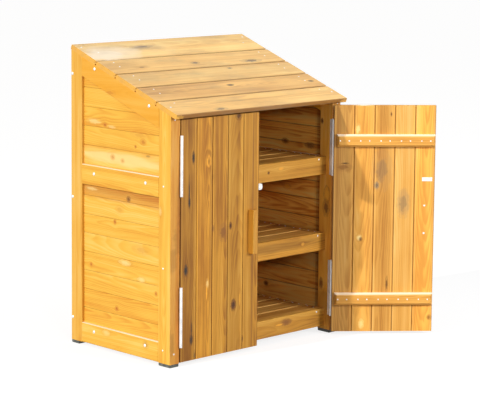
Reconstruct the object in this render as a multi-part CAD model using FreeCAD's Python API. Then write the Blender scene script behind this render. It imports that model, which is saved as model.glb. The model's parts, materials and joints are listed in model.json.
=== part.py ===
import FreeCAD, Part
import math
import os

# Lean-to garden storage cabinet: framed side panels, a boarded roof, slatted shelves and two plank doors.
# Millimetres. +X is right as seen from the front, +Y is back and +Z is up.
# The origin is on the ground, under the middle of the frame's footprint.

# Frame
carcass_width = 890.0
carcass_depth = 560.0
front_height = 920.0  # ground to the roof's underside, at the front posts' front faces
back_height = 1124.0  # ground to the roof's underside, at the rear posts' back faces
post_width = 46.0
front_post_depth = 65.0
rear_post_depth = 63.0
post_round = 3.0
rail_thickness = 38.0
rail_height = 76.0
top_rail_height = 74.0
mid_rail_drop = 78.0  # upper shelf's top to the mid rail's base
rail_round = 3.5

# Feet
foot_height = 12.0
foot_inset = 1.0
rear_foot_depth = 43.0
foot_bevel = 2.0

# Tongued and grooved boards
tongue_thickness = 5.0
tongue_length = 6.0
tongue_end_gap = 1.0
tongue_fit = 0.1
least_board = 12.0  # a narrower strip is left on its neighbour

# Side panels
side_board_thickness = 15.0
side_board_recess = 11.0
side_board_cover = 72.0
side_board_bevel = 1.6
panel_groove_depth = 8.0
panel_groove_fit = 0.2
left_lower_line = 147.0  # height of the lowest visible joint between boards
left_upper_line = 770.0
right_lower_line = 158.0
right_upper_line = 734.0

# Back
back_rail_thickness = 18.0
back_rail_height = 60.0
back_board_thickness = 15.0
back_board_count = 10
back_board_bevel = 1.6
back_bottom_rail_centre = 100.0
back_mid_rail_centre = 565.0
back_top_rail_drop = 91.0  # roof's underside at the back to the top rail's middle

# Roof
roof_thickness = 18.0
roof_board_cover = 119.0
roof_last_board_cover = 149.5
roof_board_count = 5
roof_board_gap = 6.0
roof_board_bevel = 1.8
roof_eaves_round = 4.0
roof_front_overhang = 28.0  # along the slope, from the front posts' front faces
roof_side_overhang = 0.5
batten_width = 38.0
batten_height = 30.0

# Shelves
lower_shelf_rise = 7.0  # bottom rails' top to the lower shelf's top
middle_shelf_top = 398.0
upper_shelf_top = 698.0
apron_setback = 29.0
apron_thickness = 20.0
apron_height = 70.0
apron_round = 2.5
slat_thickness = 18.0
slat_width = 72.0
slat_count = 6
slat_end_gap = 0.6
slat_back_gap = 3.0
slat_round = 2.0
cleat_width = 38.0
cleat_height = 30.0

# Doors
door_thickness = 20.0
door_foot_gap = 2.0  # feet's top to the doors' bottom
door_head_gap = 16.0  # doors' top to the roof's underside
door_board_count = 5
door_board_bevel = 2.6
door_meeting_gap = 2.0
right_door_rest_angle = 139.0
ledge_height = 48.0
ledge_thickness = 20.0
ledge_bevel = 8.0
ledge_hinge_inset = 10.0
ledge_free_inset = 2.5
lower_ledge_rise = 131.0  # door's bottom to the ledge's middle
upper_ledge_drop = 136.0  # door's top to the ledge's middle
handle_width = 24.0
handle_depth = 26.0
handle_length = 167.0
handle_round = 3.0
handle_rise = 444.0  # door's bottom to the handle's middle
handle_edge_distance = 39.0  # door's free edge to the handle's middle
handle_screw_spacing = 109.0

# Hinges
hinge_length = 218.0
hinge_leaf_width = 11.0  # behind the front plane
hinge_leaf_thickness = 1.2
hinge_leaf_gap = 0.4
hinge_barrel_radius = 5.5
hinge_barrel_clearance = 0.4  # barrel to the front plane
hinge_pin_radius = 2.2
hinge_pin_clearance = 0.05
hinge_knuckle_count = 5
hinge_knuckle_gap = 0.4
hinge_tip_height = 2.0
lower_hinge_rise = 168.0  # door's bottom to the hinge's middle
upper_hinge_drop = 167.0  # door's top to the hinge's middle
hinge_screw_spacing = 68.0
hinge_screw_count = 4
hinge_screw_head_radius = 3.2
hinge_screw_radius = 1.8
hinge_screw_length = 18.0

# Magnetic catches
catch_width = 24.0
catch_height = 24.0
catch_depth = 26.0
catch_round = 9.0
catch_air_gap = 0.3
catch_edge_distance = 31.0  # cabinet's middle to the catch's middle
pole_thickness = 2.0
pole_width = 16.0
pole_spacing = 10.0
keeper_width = 40.0
keeper_height = 15.0
keeper_thickness = 1.2

# Screws and nails
screw_head_radius = 6.0
screw_head_height = 3.0
head_dome_share = 0.9  # share of a head's height that its dome takes
screw_radius = 2.5
screw_grip = 22.0  # length in the far piece
small_head_radius = 4.0
small_head_height = 1.6
small_screw_radius = 1.8
nail_head_radius = 2.8
nail_head_height = 0.9
nail_head_bevel = 0.5
nail_radius = 1.2
nail_grip = 10.0  # length in the far piece
rail_screw_inset = 71.0  # post to screw, along the rail
batten_screw_front_inset = 53.0
batten_screw_rear_inset = 74.0
apron_screw_inset = 43.0
slat_nail_spacing = 34.0
ledge_nail_spacing = 35.0
roof_nail_rear_inset = 26.5  # board's rear edge to the nearer nail
roof_nail_spacing = 36.0
roof_last_nail_inset = 82.0
roof_screw_front = 63.5  # roof's front edge to the front screws, along the slope
roof_screw_rear = 30.0
back_nail_spacing = 30.0

tolerance = 1e-6

V = FreeCAD.Vector
UP = V(0, 0, 1)
RIGHT = V(1, 0, 0)
BACK = V(0, 1, 0)

# Planes and lines that many pieces share
side_x = carcass_width / 2
front_y = -carcass_depth / 2
back_y = carcass_depth / 2
opening_x = side_x - post_width
front_post_back_y = front_y + front_post_depth
rear_post_front_y = back_y - rear_post_depth
back_board_front_y = back_y - back_rail_thickness - back_board_thickness
apron_front_y = front_y + apron_setback
apron_back_y = apron_front_y + apron_thickness
cleat_x = opening_x - cleat_width
batten_x = opening_x - batten_width
roof_angle = math.atan2(back_height - front_height, carcass_depth)
slope_back = V(0, math.cos(roof_angle), math.sin(roof_angle))
slope_down = V(0, math.sin(roof_angle), -math.cos(roof_angle))
lower_shelf_top = foot_height + rail_height + lower_shelf_rise
mid_rail_base = upper_shelf_top - mid_rail_drop
shelf_tops = {"lower": lower_shelf_top, "middle": middle_shelf_top, "upper": upper_shelf_top}
door_bottom = foot_height + door_foot_gap
door_top = front_height - door_head_gap
lower_ledge_centre = door_bottom + lower_ledge_rise
upper_ledge_centre = door_top - upper_ledge_drop
handle_centre = door_bottom + handle_rise
hinge_gap = 2 * hinge_leaf_thickness + hinge_leaf_gap
hinge_axis_x = opening_x - hinge_gap / 2
hinge_axis_y = front_y - hinge_barrel_radius - hinge_barrel_clearance
hinge_centres = {"lower": door_bottom + lower_hinge_rise, "upper": door_top - upper_hinge_drop}
door_hinge_x = opening_x - hinge_gap
door_free_x = door_meeting_gap / 2
door_width = door_hinge_x - door_free_x
door_back_y = front_y + door_thickness


def underside(y):
    """Height of the roof's underside at depth y."""
    return front_height + (y - front_y) * math.tan(roof_angle)


def box(x0, x1, y0, y1, z0, z1):
    """Block between two corners."""
    return Part.makeBox(x1 - x0, y1 - y0, z1 - z0, V(x0, y0, z0))


def side_prism(outline, x0, x1):
    """Outline of (y, z) points, drawn out along X."""
    points = [V(x0, y, z) for y, z in outline]
    face = Part.Face(Part.makePolygon(points + points[:1]))
    return face.extrude(V(x1 - x0, 0, 0))


def under_roof(x0, x1, y0, y1, bottom):
    """Upright block whose top follows the roof's underside."""
    return side_prism([(y0, bottom), (y1, bottom), (y1, underside(y1)), (y0, underside(y0))], x0, x1)


def along_roof(x0, x1, y0, y1, top_drop, bottom_drop):
    """Sloped bar between two drops below the roof's underside."""
    outline = [
        (y0, underside(y0) - bottom_drop),
        (y1, underside(y1) - bottom_drop),
        (y1, underside(y1) - top_drop),
        (y0, underside(y0) - top_drop),
    ]
    return side_prism(outline, x0, x1)


def rounded(shape, direction, radius):
    """Rounds the straight edges that run in one direction."""
    chosen = []
    for edge in shape.Edges:
        run = edge.Vertexes[-1].Point - edge.Vertexes[0].Point
        if run.Length > radius and run.normalize().cross(direction).Length < tolerance:
            chosen.append(edge)
    return shape.makeFillet(radius, chosen)


def bevelled_base(shape, size):
    """Bevels the lowest edges."""
    lowest = shape.BoundBox.ZMin
    return shape.makeChamfer(size, [e for e in shape.Edges if e.BoundBox.ZMax - lowest < tolerance])


def mirrored(shape):
    """The same piece on the other side of the cabinet."""
    return shape.mirror(V(0, 0, 0), RIGHT)


def placed(shape, origin, width_way, face_way):
    """Turns a board from its own axes (width, thickness, length) into the cabinet."""
    length_way = width_way.cross(face_way)
    matrix = FreeCAD.Matrix(
        width_way.x, face_way.x, length_way.x, origin.x,
        width_way.y, face_way.y, length_way.y, origin.y,
        width_way.z, face_way.z, length_way.z, origin.z,
        0, 0, 0, 1,
    )
    shape.Placement = FreeCAD.Placement(matrix)
    return shape


def plank(cover, thickness, length, bevel, groove, tongue, gap=0.0):
    """Board with its joints: a groove along its near edge and a tongue past its far edge, where asked."""
    far = cover - gap if tongue else cover
    low = (thickness - tongue_thickness) / 2
    high = (thickness + tongue_thickness) / 2
    depth = tongue_length + tongue_end_gap
    if groove:
        outline = [
            (bevel, 0), (0, bevel), (0, low - tongue_fit), (depth, low - tongue_fit),
            (depth, high + tongue_fit), (0, high + tongue_fit), (0, thickness - bevel), (bevel, thickness),
        ]
    else:
        outline = [(0, 0), (0, thickness)]
    if tongue:
        outline += [
            (far - bevel, thickness), (far, thickness - bevel), (far, high), (cover + tongue_length, high),
            (cover + tongue_length, low), (far, low), (far, bevel), (far - bevel, 0),
        ]
    else:
        outline += [(far, thickness), (far, 0)]
    points = [V(x, y, 0) for x, y in outline]
    return Part.Face(Part.makePolygon(points + points[:1])).extrude(V(0, 0, length))


def board_edges(low, high, line, cover):
    """Heights where the boards of a stack begin and end, with one joint on the given line."""
    while line - cover > low + least_board:
        line -= cover
    while line < low + least_board:
        line += cover
    edges = [low]
    while line < high - least_board:
        edges.append(line)
        line += cover
    return edges + [high]


def blank_head(point, way, radius, height):
    """Plain round head that stands on the surface at point, and its outer rim."""
    head = Part.makeCylinder(radius, height, point - way * height, way)
    rim = [e for e in head.Edges if (e.CenterOfMass - point).dot(way) < -height / 2 and e.Closed]
    return head, rim


def domed_screw(point, way, head_radius, head_height, radius, length):
    """Round-headed screw driven along way, with its head on the surface at point; and its shank."""
    shank = Part.makeCylinder(radius, length, point, way)
    head, rim = blank_head(point, way, head_radius, head_height)
    domed = head.makeFillet(head_height * head_dome_share, rim)
    return domed.fuse(shank).removeSplitter().Solids[0], shank


def large_screw(point, way, length):
    """Broad round-headed frame screw."""
    return domed_screw(point, way, screw_head_radius, screw_head_height, screw_radius, length)


def small_screw(point, way, length):
    """Narrow round-headed screw."""
    return domed_screw(point, way, small_head_radius, small_head_height, small_screw_radius, length)


def nail(point, way, length):
    """Nail with a flat, bevelled head on the surface at point; and its shank."""
    shank = Part.makeCylinder(nail_radius, length, point, way)
    head, rim = blank_head(point, way, nail_head_radius, nail_head_height)
    return head.makeChamfer(nail_head_bevel, rim).fuse(shank).removeSplitter().Solids[0], shank


def leaf_screw(point, way):
    """Hinge screw with its head flush in the leaf; and the two bores that it fills."""
    head = Part.makeCylinder(hinge_screw_head_radius, hinge_leaf_thickness, point, way)
    shank = Part.makeCylinder(hinge_screw_radius, hinge_screw_length, point, way)
    return head.fuse(shank).removeSplitter().Solids[0], head.fuse(shank)


def drilled(solids, shanks):
    """Bores the shanks' holes wherever they pass through the solids."""
    bored = []
    for solid in solids:
        near = [shank for shank in shanks if shank.BoundBox.intersect(solid.BoundBox)]
        bored += solid.cut(near).Solids if near else [solid]
    return bored


def left_posts():
    """Front and rear posts of the left side, grooved for the panel boards."""
    groove_x = (
        -side_x + side_board_recess - panel_groove_fit,
        -side_x + side_board_recess + side_board_thickness + panel_groove_fit,
    )
    depth = panel_groove_depth + panel_groove_fit
    front = under_roof(-side_x, -opening_x, front_y, front_post_back_y, foot_height)
    front_slot = box(*groove_x, front_post_back_y - depth, front_post_back_y, foot_height, back_height)
    rear = under_roof(-side_x, -opening_x, rear_post_front_y, back_y, foot_height)
    rear_slot = box(*groove_x, rear_post_front_y, rear_post_front_y + depth, foot_height, back_height)
    return {
        "front": rounded(front, UP, post_round).cut(front_slot).Solids,
        "rear": rounded(rear, UP, post_round).cut(rear_slot).Solids,
    }


def left_rails():
    """Sloped top rail, mid rail and bottom rail of the left side, grooved for the panel boards."""
    rail_x = (-side_x, -side_x + rail_thickness)
    rail_y = (front_post_back_y, rear_post_front_y)
    groove_x = (
        -side_x + side_board_recess - panel_groove_fit,
        -side_x + side_board_recess + side_board_thickness + panel_groove_fit,
    )
    depth = panel_groove_depth + panel_groove_fit
    bottom_top = foot_height + rail_height
    mid_top = mid_rail_base + rail_height
    top = along_roof(*rail_x, *rail_y, 0, top_rail_height)
    top_slot = along_roof(*groove_x, *rail_y, top_rail_height - depth, top_rail_height)
    mid = box(*rail_x, *rail_y, mid_rail_base, mid_top)
    mid_slots = [
        box(*groove_x, *rail_y, mid_top - depth, mid_top),
        box(*groove_x, *rail_y, mid_rail_base, mid_rail_base + depth),
    ]
    bottom = box(*rail_x, *rail_y, foot_height, bottom_top)
    bottom_slot = box(*groove_x, *rail_y, bottom_top - depth, bottom_top)
    return {
        "top": rounded(top, slope_back, rail_round).cut(top_slot).Solids,
        "mid": rounded(mid, BACK, rail_round).cut(mid_slots).Solids,
        "bottom": rounded(bottom, BACK, rail_round).cut(bottom_slot).Solids,
    }


def left_panel_boards(lower_line, upper_line):
    """Level boards of a left side panel, below and above the mid rail, with their ends in the grooves."""
    start_y = front_post_back_y - panel_groove_depth
    length = rear_post_front_y - front_post_back_y + 2 * panel_groove_depth
    lower = (foot_height + rail_height - panel_groove_depth, mid_rail_base + panel_groove_depth, lower_line)
    upper = (mid_rail_base + rail_height - panel_groove_depth, back_height, upper_line)
    over = along_roof(
        -side_x, 0, front_y, back_y, -carcass_depth, top_rail_height - panel_groove_depth
    )
    boards = []
    for low, high, line in (lower, upper):
        edges = board_edges(low, high, line, side_board_cover)
        for index in range(len(edges) - 1):
            board = plank(
                edges[index + 1] - edges[index], side_board_thickness, length, side_board_bevel,
                index > 0, index < len(edges) - 2,
            )
            origin = V(-side_x + side_board_recess, start_y, edges[index])
            boards += placed(board, origin, UP, RIGHT).cut(over).Solids
    return boards


def back_wall():
    """Upright boards on three level rails between the rear posts."""
    cover = 2 * opening_x / back_board_count
    over = along_roof(-side_x, side_x, front_y, back_y, -carcass_depth, 0)
    boards = []
    for index in range(back_board_count):
        board = plank(
            cover, back_board_thickness, back_height - foot_height, back_board_bevel,
            index > 0, index < back_board_count - 1,
        )
        origin = V(opening_x - index * cover, back_board_front_y + back_board_thickness, foot_height)
        boards += placed(board, origin, -RIGHT, -BACK).cut(over).Solids
    rails = {}
    for name, centre in back_rail_centres.items():
        bar = box(
            -opening_x, opening_x, back_y - back_rail_thickness, back_y,
            centre - back_rail_height / 2, centre + back_rail_height / 2,
        )
        rails[name] = [bar]
    return boards, rails


def roof_boards():
    """Boards across the slope, from the eaves to the back."""
    half = side_x + roof_side_overhang
    edge = V(half, front_y, front_height) - slope_down * roof_thickness - slope_back * roof_front_overhang
    boards = []
    for index in range(roof_board_count):
        last = index == roof_board_count - 1
        cover = roof_last_board_cover if last else roof_board_cover
        board = plank(cover, roof_thickness, 2 * half, roof_board_bevel, index > 0, not last, roof_board_gap)
        if index == 0:
            eaves = [e for e in board.Edges if e.BoundBox.XMax < tolerance and e.BoundBox.ZLength > half]
            board = board.makeFillet(roof_eaves_round, eaves)
        origin = edge + slope_back * (roof_board_cover * index)
        boards.append(placed(board, origin, slope_back, slope_down))
    return boards


def shelf_parts(top):
    """Front apron, left cleat and slats of one shelf."""
    apron = box(-opening_x, opening_x, apron_front_y, apron_back_y, top - apron_height, top)
    cleat_top = top - slat_thickness
    cleat = box(-opening_x, -cleat_x, apron_back_y, back_board_front_y, cleat_top - cleat_height, cleat_top)
    slat_x = opening_x - slat_end_gap
    slats = []
    for start in slat_starts:
        slat = box(-slat_x, slat_x, start, start + slat_width, cleat_top, top)
        slats.append(rounded(slat, RIGHT, slat_round))
    return rounded(apron, RIGHT, apron_round), cleat, slats


def left_foot(depth, y0):
    """Moulded pad under a left post."""
    pad = box(-side_x + foot_inset, -opening_x - foot_inset, y0, y0 + depth, 0, foot_height)
    return bevelled_base(rounded(pad, UP, post_round), foot_bevel)


def left_catch():
    """Magnetic catch under the upper shelf's apron, with its two pole plates in front."""
    top = upper_shelf_top - apron_height
    face_y = door_back_y + keeper_thickness + catch_air_gap
    body_y = face_y + pole_thickness
    middle = -catch_edge_distance
    body = box(
        middle - catch_width / 2, middle + catch_width / 2, body_y, body_y + catch_depth,
        top - catch_height, top,
    )
    solids = [rounded(body, BACK, catch_round)]
    for side in (-1, 1):
        height = top - catch_height / 2 + side * pole_spacing / 2
        solids.append(box(
            middle - pole_width / 2, middle + pole_width / 2, face_y, body_y,
            height - pole_thickness / 2, height + pole_thickness / 2,
        ))
    return solids


def left_hinge(centre):
    """Post leaf, door leaf and pin of one left hinge, its screws, and the bores that they fill."""
    low = centre - hinge_length / 2
    pitch = hinge_length / hinge_knuckle_count
    axis = V(-hinge_axis_x, hinge_axis_y, low)
    leaf_y = (hinge_axis_y, front_y + hinge_leaf_width)
    plates = {
        "post": box(-opening_x, -opening_x + hinge_leaf_thickness, *leaf_y, low, low + hinge_length),
        "door": box(-door_hinge_x - hinge_leaf_thickness, -door_hinge_x, *leaf_y, low, low + hinge_length),
    }
    bore = Part.makeCylinder(hinge_pin_radius + hinge_pin_clearance, hinge_length, axis, UP)
    clear_radius = hinge_barrel_radius + hinge_knuckle_gap
    leaves = {}
    for name, first in (("post", 0), ("door", 1)):
        own, other = [], []
        for index in range(hinge_knuckle_count):
            base = axis + UP * (index * pitch)
            if index % 2 == first:
                knuckle_base = base + UP * (hinge_knuckle_gap / 2)
                own.append(Part.makeCylinder(hinge_barrel_radius, pitch - hinge_knuckle_gap, knuckle_base, UP))
            else:
                clear_base = base - UP * (hinge_knuckle_gap / 2)
                other.append(Part.makeCylinder(clear_radius, pitch + hinge_knuckle_gap, clear_base, UP))
        leaves[name] = plates[name].cut(other).fuse(own).cut(bore).removeSplitter()
    pin = Part.makeCylinder(hinge_pin_radius, hinge_length, axis, UP)
    for tip_base in (axis - UP * hinge_tip_height, axis + UP * hinge_length):
        tip = Part.makeCylinder(hinge_barrel_radius, hinge_tip_height, tip_base, UP)
        pin = pin.fuse(tip)
    ways = {"post": -RIGHT, "door": RIGHT}
    faces = {"post": -opening_x + hinge_leaf_thickness, "door": -door_hinge_x - hinge_leaf_thickness}
    screws = {"post": [], "door": []}
    bores = {"post": [], "door": []}
    screw_y = (hinge_axis_y + hinge_barrel_radius + front_y + hinge_leaf_width) / 2
    for name in leaves:
        for index in range(hinge_screw_count):
            step = index - (hinge_screw_count - 1) / 2
            point = V(faces[name], screw_y, centre + step * hinge_screw_spacing)
            solid, hole = leaf_screw(point, ways[name])
            screws[name].append(solid)
            bores[name].append(hole)
        leaves[name] = leaves[name].cut(bores[name]).Solids[0]
    return leaves, pin.removeSplitter().Solids[0], screws, bores


def left_door_boards():
    """Upright boards of the left door, from the hinge edge to the free edge."""
    cover = door_width / door_board_count
    boards = []
    for index in range(door_board_count):
        board = plank(
            cover, door_thickness, door_top - door_bottom, door_board_bevel,
            index > 0, index < door_board_count - 1,
        )
        boards.append(placed(board, V(-door_hinge_x + index * cover, front_y, door_bottom), RIGHT, BACK))
    return boards


def left_ledge(centre):
    """Level bar across the door's inner face, bevelled round its free face."""
    bar = box(
        -door_hinge_x + ledge_hinge_inset, -door_free_x - ledge_free_inset,
        door_back_y, door_back_y + ledge_thickness,
        centre - ledge_height / 2, centre + ledge_height / 2,
    )
    rim = [e for e in bar.Edges if e.BoundBox.YMin > door_back_y + ledge_thickness / 2]
    return bar.makeChamfer(ledge_bevel, rim)


def left_handle():
    """Upright wooden bar on the door's outer face."""
    middle = -door_free_x - handle_edge_distance
    bar = box(
        middle - handle_width / 2, middle + handle_width / 2, front_y - handle_depth, front_y,
        handle_centre - handle_length / 2, handle_centre + handle_length / 2,
    )
    rim = [e for e in bar.Edges if e.BoundBox.YMin < front_y - handle_depth / 2]
    return bar.makeFillet(handle_round, rim)


def left_keeper():
    """Steel plate that the magnet holds, on the door's inner face."""
    centre = upper_shelf_top - apron_height - catch_height / 2
    return box(
        -catch_edge_distance - keeper_width / 2, -catch_edge_distance + keeper_width / 2,
        door_back_y, door_back_y + keeper_thickness,
        centre - keeper_height / 2, centre + keeper_height / 2,
    )


def left_door_fasteners():
    """Nails through both ledges and the two handle screws; and their shanks."""
    cover = door_width / door_board_count
    made = []
    for centre in (lower_ledge_centre, upper_ledge_centre):
        for index in range(door_board_count):
            for side in (-0.5, 0.5):
                x = -door_hinge_x + (index + 0.5) * cover + side * ledge_nail_spacing
                point = V(x, door_back_y + ledge_thickness, centre)
                made.append(nail(point, -BACK, ledge_thickness + nail_grip))
    for side in (-0.5, 0.5):
        x = -door_free_x - handle_edge_distance
        point = V(x, door_back_y, handle_centre + side * handle_screw_spacing)
        made.append(small_screw(point, -BACK, door_thickness + handle_depth / 2))
    return made


def frame_screws():
    """Frame, shelf and roof screws of the left side; and their shanks."""
    made = []
    rail_y = (front_post_back_y + rail_screw_inset, rear_post_front_y - rail_screw_inset)
    cleat_drop = slat_thickness + cleat_height / 2
    for y in (front_post_back_y + batten_screw_front_inset, rear_post_front_y - batten_screw_rear_inset):
        point = V(-side_x, y, underside(y) - batten_height / 2)
        made.append(large_screw(point, RIGHT, post_width + screw_grip))
    for y in rail_y:
        for z in (upper_shelf_top - cleat_drop, lower_shelf_top - cleat_drop):
            made.append(large_screw(V(-side_x, y, z), RIGHT, post_width + screw_grip))
    for centre in back_rail_centres.values():
        point = V(-side_x, back_y - back_rail_thickness / 2, centre)
        made.append(large_screw(point, RIGHT, post_width + screw_grip))
    for top in shelf_tops.values():
        centre = top - apron_height / 2
        point = V(-side_x, apron_front_y + apron_thickness / 2, centre)
        made.append(small_screw(point, RIGHT, post_width + screw_grip))
        apron_point = V(-opening_x + apron_screw_inset, apron_front_y, top - slat_thickness / 2)
        made.append(small_screw(apron_point, BACK, apron_thickness + screw_grip))
    top_centre = underside(front_post_back_y) - top_rail_height / 2
    for z in (top_centre, foot_height + rail_height / 2):
        point = V(-side_x + rail_thickness / 2, front_y, z)
        made.append(small_screw(point, BACK, front_post_depth + screw_grip))
    for along in (roof_screw_front, roof_length - roof_screw_rear):
        point = roof_point(-side_x + post_width / 2, along)
        made.append(small_screw(point, slope_down, roof_thickness + screw_grip))
    return made


def roof_point(x, along):
    """Point on the roof's top face, a distance up the slope from its front edge."""
    edge = V(x, front_y, front_height) - slope_down * roof_thickness - slope_back * roof_front_overhang
    return edge + slope_back * along


def roof_nails():
    """Roof nails of the left side; and their shanks."""
    made = []
    places = [roof_board_cover - roof_nail_rear_inset]
    for index in range(1, roof_board_count - 1):
        rear = roof_board_cover * (index + 1) - roof_nail_rear_inset
        places += [rear, rear - roof_nail_spacing]
    places.append(roof_length - roof_last_nail_inset)
    for along in places:
        point = roof_point(-batten_x - batten_width / 2, along)
        made.append(nail(point, slope_down, roof_thickness + nail_grip))
    return made


def shelf_nails():
    """Shelf nails of the left side; and their shanks."""
    made = []
    for top in shelf_tops.values():
        for start in slat_starts:
            for side in (-0.5, 0.5):
                point = V(-cleat_x - cleat_width / 2, start + slat_width / 2 + side * slat_nail_spacing, top)
                made.append(nail(point, -UP, slat_thickness + nail_grip))
    return made


def back_nails():
    """Nails through the back boards into their rails; and their shanks."""
    cover = 2 * opening_x / back_board_count
    made = []
    for index in range(back_board_count):
        for centre in back_rail_centres.values():
            for side in (-0.5, 0.5):
                x = -opening_x + (index + 0.5) * cover
                point = V(x, back_board_front_y, centre + side * back_nail_spacing)
                made.append(nail(point, BACK, back_board_thickness + nail_grip))
    return made


def both_sides(pairs):
    """A left side's fasteners and shanks with their right-hand twins, as two lists."""
    solids = [solid for solid, _ in pairs]
    shanks = [shank for _, shank in pairs]
    return solids + [mirrored(s) for s in solids], shanks + [mirrored(s) for s in shanks]


# Layout that follows from the sizes above
back_rail_centres = {
    "bottom": back_bottom_rail_centre,
    "mid": back_mid_rail_centre,
    "top": back_height - back_top_rail_drop,
}
roof_length = roof_board_cover * (roof_board_count - 1) + roof_last_board_cover
slat_room = back_board_front_y - slat_back_gap - apron_back_y
slat_pitch = (slat_room - slat_width) / (slat_count - 1)
slat_starts = [apron_back_y + slat_pitch * index for index in range(slat_count)]

# Wooden pieces of the carcass
carcass = {}
for place, solids in left_posts().items():
    carcass[f"{place}_left_post"] = solids
    carcass[f"{place}_right_post"] = [mirrored(s) for s in solids]
for place, solids in left_rails().items():
    carcass[f"left_{place}_rail"] = solids
    carcass[f"right_{place}_rail"] = [mirrored(s) for s in solids]
carcass["left_side_boards"] = left_panel_boards(left_lower_line, left_upper_line)
carcass["right_side_boards"] = [mirrored(s) for s in left_panel_boards(right_lower_line, right_upper_line)]
carcass["back_boards"], back_rails = back_wall()
for place, solids in back_rails.items():
    carcass[f"back_{place}_rail"] = solids
for index, board in enumerate(roof_boards()):
    carcass[f"roof_board_{index + 1}"] = [board]
batten = along_roof(-opening_x, -batten_x, apron_front_y, back_board_front_y, 0, batten_height)
carcass["roof_left_batten"] = [batten]
carcass["roof_right_batten"] = [mirrored(batten)]
for place, top in shelf_tops.items():
    apron, cleat, slats = shelf_parts(top)
    carcass[f"{place}_shelf_apron"] = [apron]
    carcass[f"{place}_shelf_cleats"] = [cleat, mirrored(cleat)]
    carcass[f"{place}_shelf_slats"] = slats

# Screws, nails and the holes that they fill
screws, screw_shanks = both_sides(frame_screws())
nail_groups = {"roof_nails": both_sides(roof_nails()), "shelf_nails": both_sides(shelf_nails())}
nail_groups["back_nails"] = list(zip(*back_nails()))
shanks = list(screw_shanks)
for _, group_shanks in nail_groups.values():
    shanks += group_shanks
post_leaves, door_leaves, pins = [], [], []
post_screws, door_bores, door_screws = [], [], []
for centre in hinge_centres.values():
    leaves, pin, leaf_screws, leaf_bores = left_hinge(centre)
    post_leaves.append(leaves["post"])
    door_leaves.append(leaves["door"])
    pins.append(pin)
    post_screws += leaf_screws["post"] + [mirrored(s) for s in leaf_screws["post"]]
    shanks += leaf_bores["post"] + [mirrored(s) for s in leaf_bores["post"]]
    door_screws += leaf_screws["door"]
    door_bores += leaf_bores["door"]
nodes = {}
for name, solids in carcass.items():
    nodes[name] = drilled(solids, shanks)
nodes["frame_screws"] = screws
nodes["hinge_post_screws"] = post_screws
for name, (nails, _) in nail_groups.items():
    nodes[name] = nails

# Feet, catches and the hinge pieces that stay with the posts
feet = {
    "front": left_foot(front_post_depth - 2 * foot_inset, front_y + foot_inset),
    "rear": left_foot(rear_foot_depth, back_y - foot_inset - rear_foot_depth),
}
for place, pad in feet.items():
    nodes[f"{place}_left_foot"] = [pad]
    nodes[f"{place}_right_foot"] = [mirrored(pad)]
catch = left_catch()
nodes["magnetic_catches"] = catch + [mirrored(s) for s in catch]
nodes["left_hinge_post_leaves"] = post_leaves
nodes["right_hinge_post_leaves"] = [mirrored(s) for s in post_leaves]
nodes["left_hinge_pins"] = pins
nodes["right_hinge_pins"] = [mirrored(s) for s in pins]

# Doors: the left one is shut, and the right one is its twin, swung open
door_pairs = left_door_fasteners()
door_shanks = [shank for _, shank in door_pairs] + door_bores
left_door = {
    "door_boards": drilled(left_door_boards(), door_shanks),
    "door_lower_ledge": drilled([left_ledge(lower_ledge_centre)], door_shanks),
    "door_upper_ledge": drilled([left_ledge(upper_ledge_centre)], door_shanks),
    "door_handle": drilled([left_handle()], door_shanks),
    "door_keeper": [left_keeper()],
    "door_fasteners": [solid for solid, _ in door_pairs] + door_screws,
    "hinge_door_leaves": door_leaves,
}
right_axis = V(hinge_axis_x, hinge_axis_y, 0)
for piece, solids in left_door.items():
    nodes[f"left_{piece}"] = solids
    nodes[f"right_{piece}"] = [mirrored(s).rotate(right_axis, UP, right_door_rest_angle) for s in solids]

os.makedirs("parts", exist_ok=True)
for name, solids in nodes.items():
    shape = solids[0] if len(solids) == 1 else Part.makeCompound(solids)
    shape.exportStep(f"parts/{name}.step")
print(len(nodes), "nodes,", sum(len(s) for s in nodes.values()), "solids")
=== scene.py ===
import json
import logging
import math
from collections.abc import Sequence
from dataclasses import dataclass, replace
from enum import Enum
from functools import cache
from random import Random

import bpy
from mathutils import Matrix, Vector


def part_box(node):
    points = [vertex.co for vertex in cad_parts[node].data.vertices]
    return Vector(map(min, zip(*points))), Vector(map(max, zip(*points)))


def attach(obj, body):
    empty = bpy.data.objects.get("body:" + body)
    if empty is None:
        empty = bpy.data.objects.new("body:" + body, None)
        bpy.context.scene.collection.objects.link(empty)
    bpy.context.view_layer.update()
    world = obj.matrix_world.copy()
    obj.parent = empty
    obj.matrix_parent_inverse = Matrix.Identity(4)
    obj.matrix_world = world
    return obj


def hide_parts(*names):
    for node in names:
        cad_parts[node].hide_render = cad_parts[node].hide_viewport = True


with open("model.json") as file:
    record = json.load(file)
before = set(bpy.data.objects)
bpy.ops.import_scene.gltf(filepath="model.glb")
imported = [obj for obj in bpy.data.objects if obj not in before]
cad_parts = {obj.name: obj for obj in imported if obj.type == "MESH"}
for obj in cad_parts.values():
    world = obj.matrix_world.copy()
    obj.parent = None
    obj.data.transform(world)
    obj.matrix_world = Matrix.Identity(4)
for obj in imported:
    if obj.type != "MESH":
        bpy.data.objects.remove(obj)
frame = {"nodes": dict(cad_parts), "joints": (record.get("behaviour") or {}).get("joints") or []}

log = logging.getLogger("cabinet")

Colour = Point = tuple[float, float, float]
Span = Spot = tuple[float, float]
Socket = bpy.types.NodeSocket
Inputs = bpy.types.NodeInputs
Outputs = bpy.types.NodeOutputs
Input = float | Sequence[float] | Socket
Values = Sequence[Input] | dict[int | str, Input]

ALONG_X: Point = (1.0, 0.0, 0.0)
ALONG_Y: Point = (0.0, 1.0, 0.0)
ALONG_Z: Point = (0.0, 0.0, 1.0)


def linear(step: int) -> float:
    """Linear value of one screen colour step of 0 to 255."""
    share = step / 255
    return share / 12.92 if share <= 0.04045 else ((share + 0.055) / 1.055) ** 2.4


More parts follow.
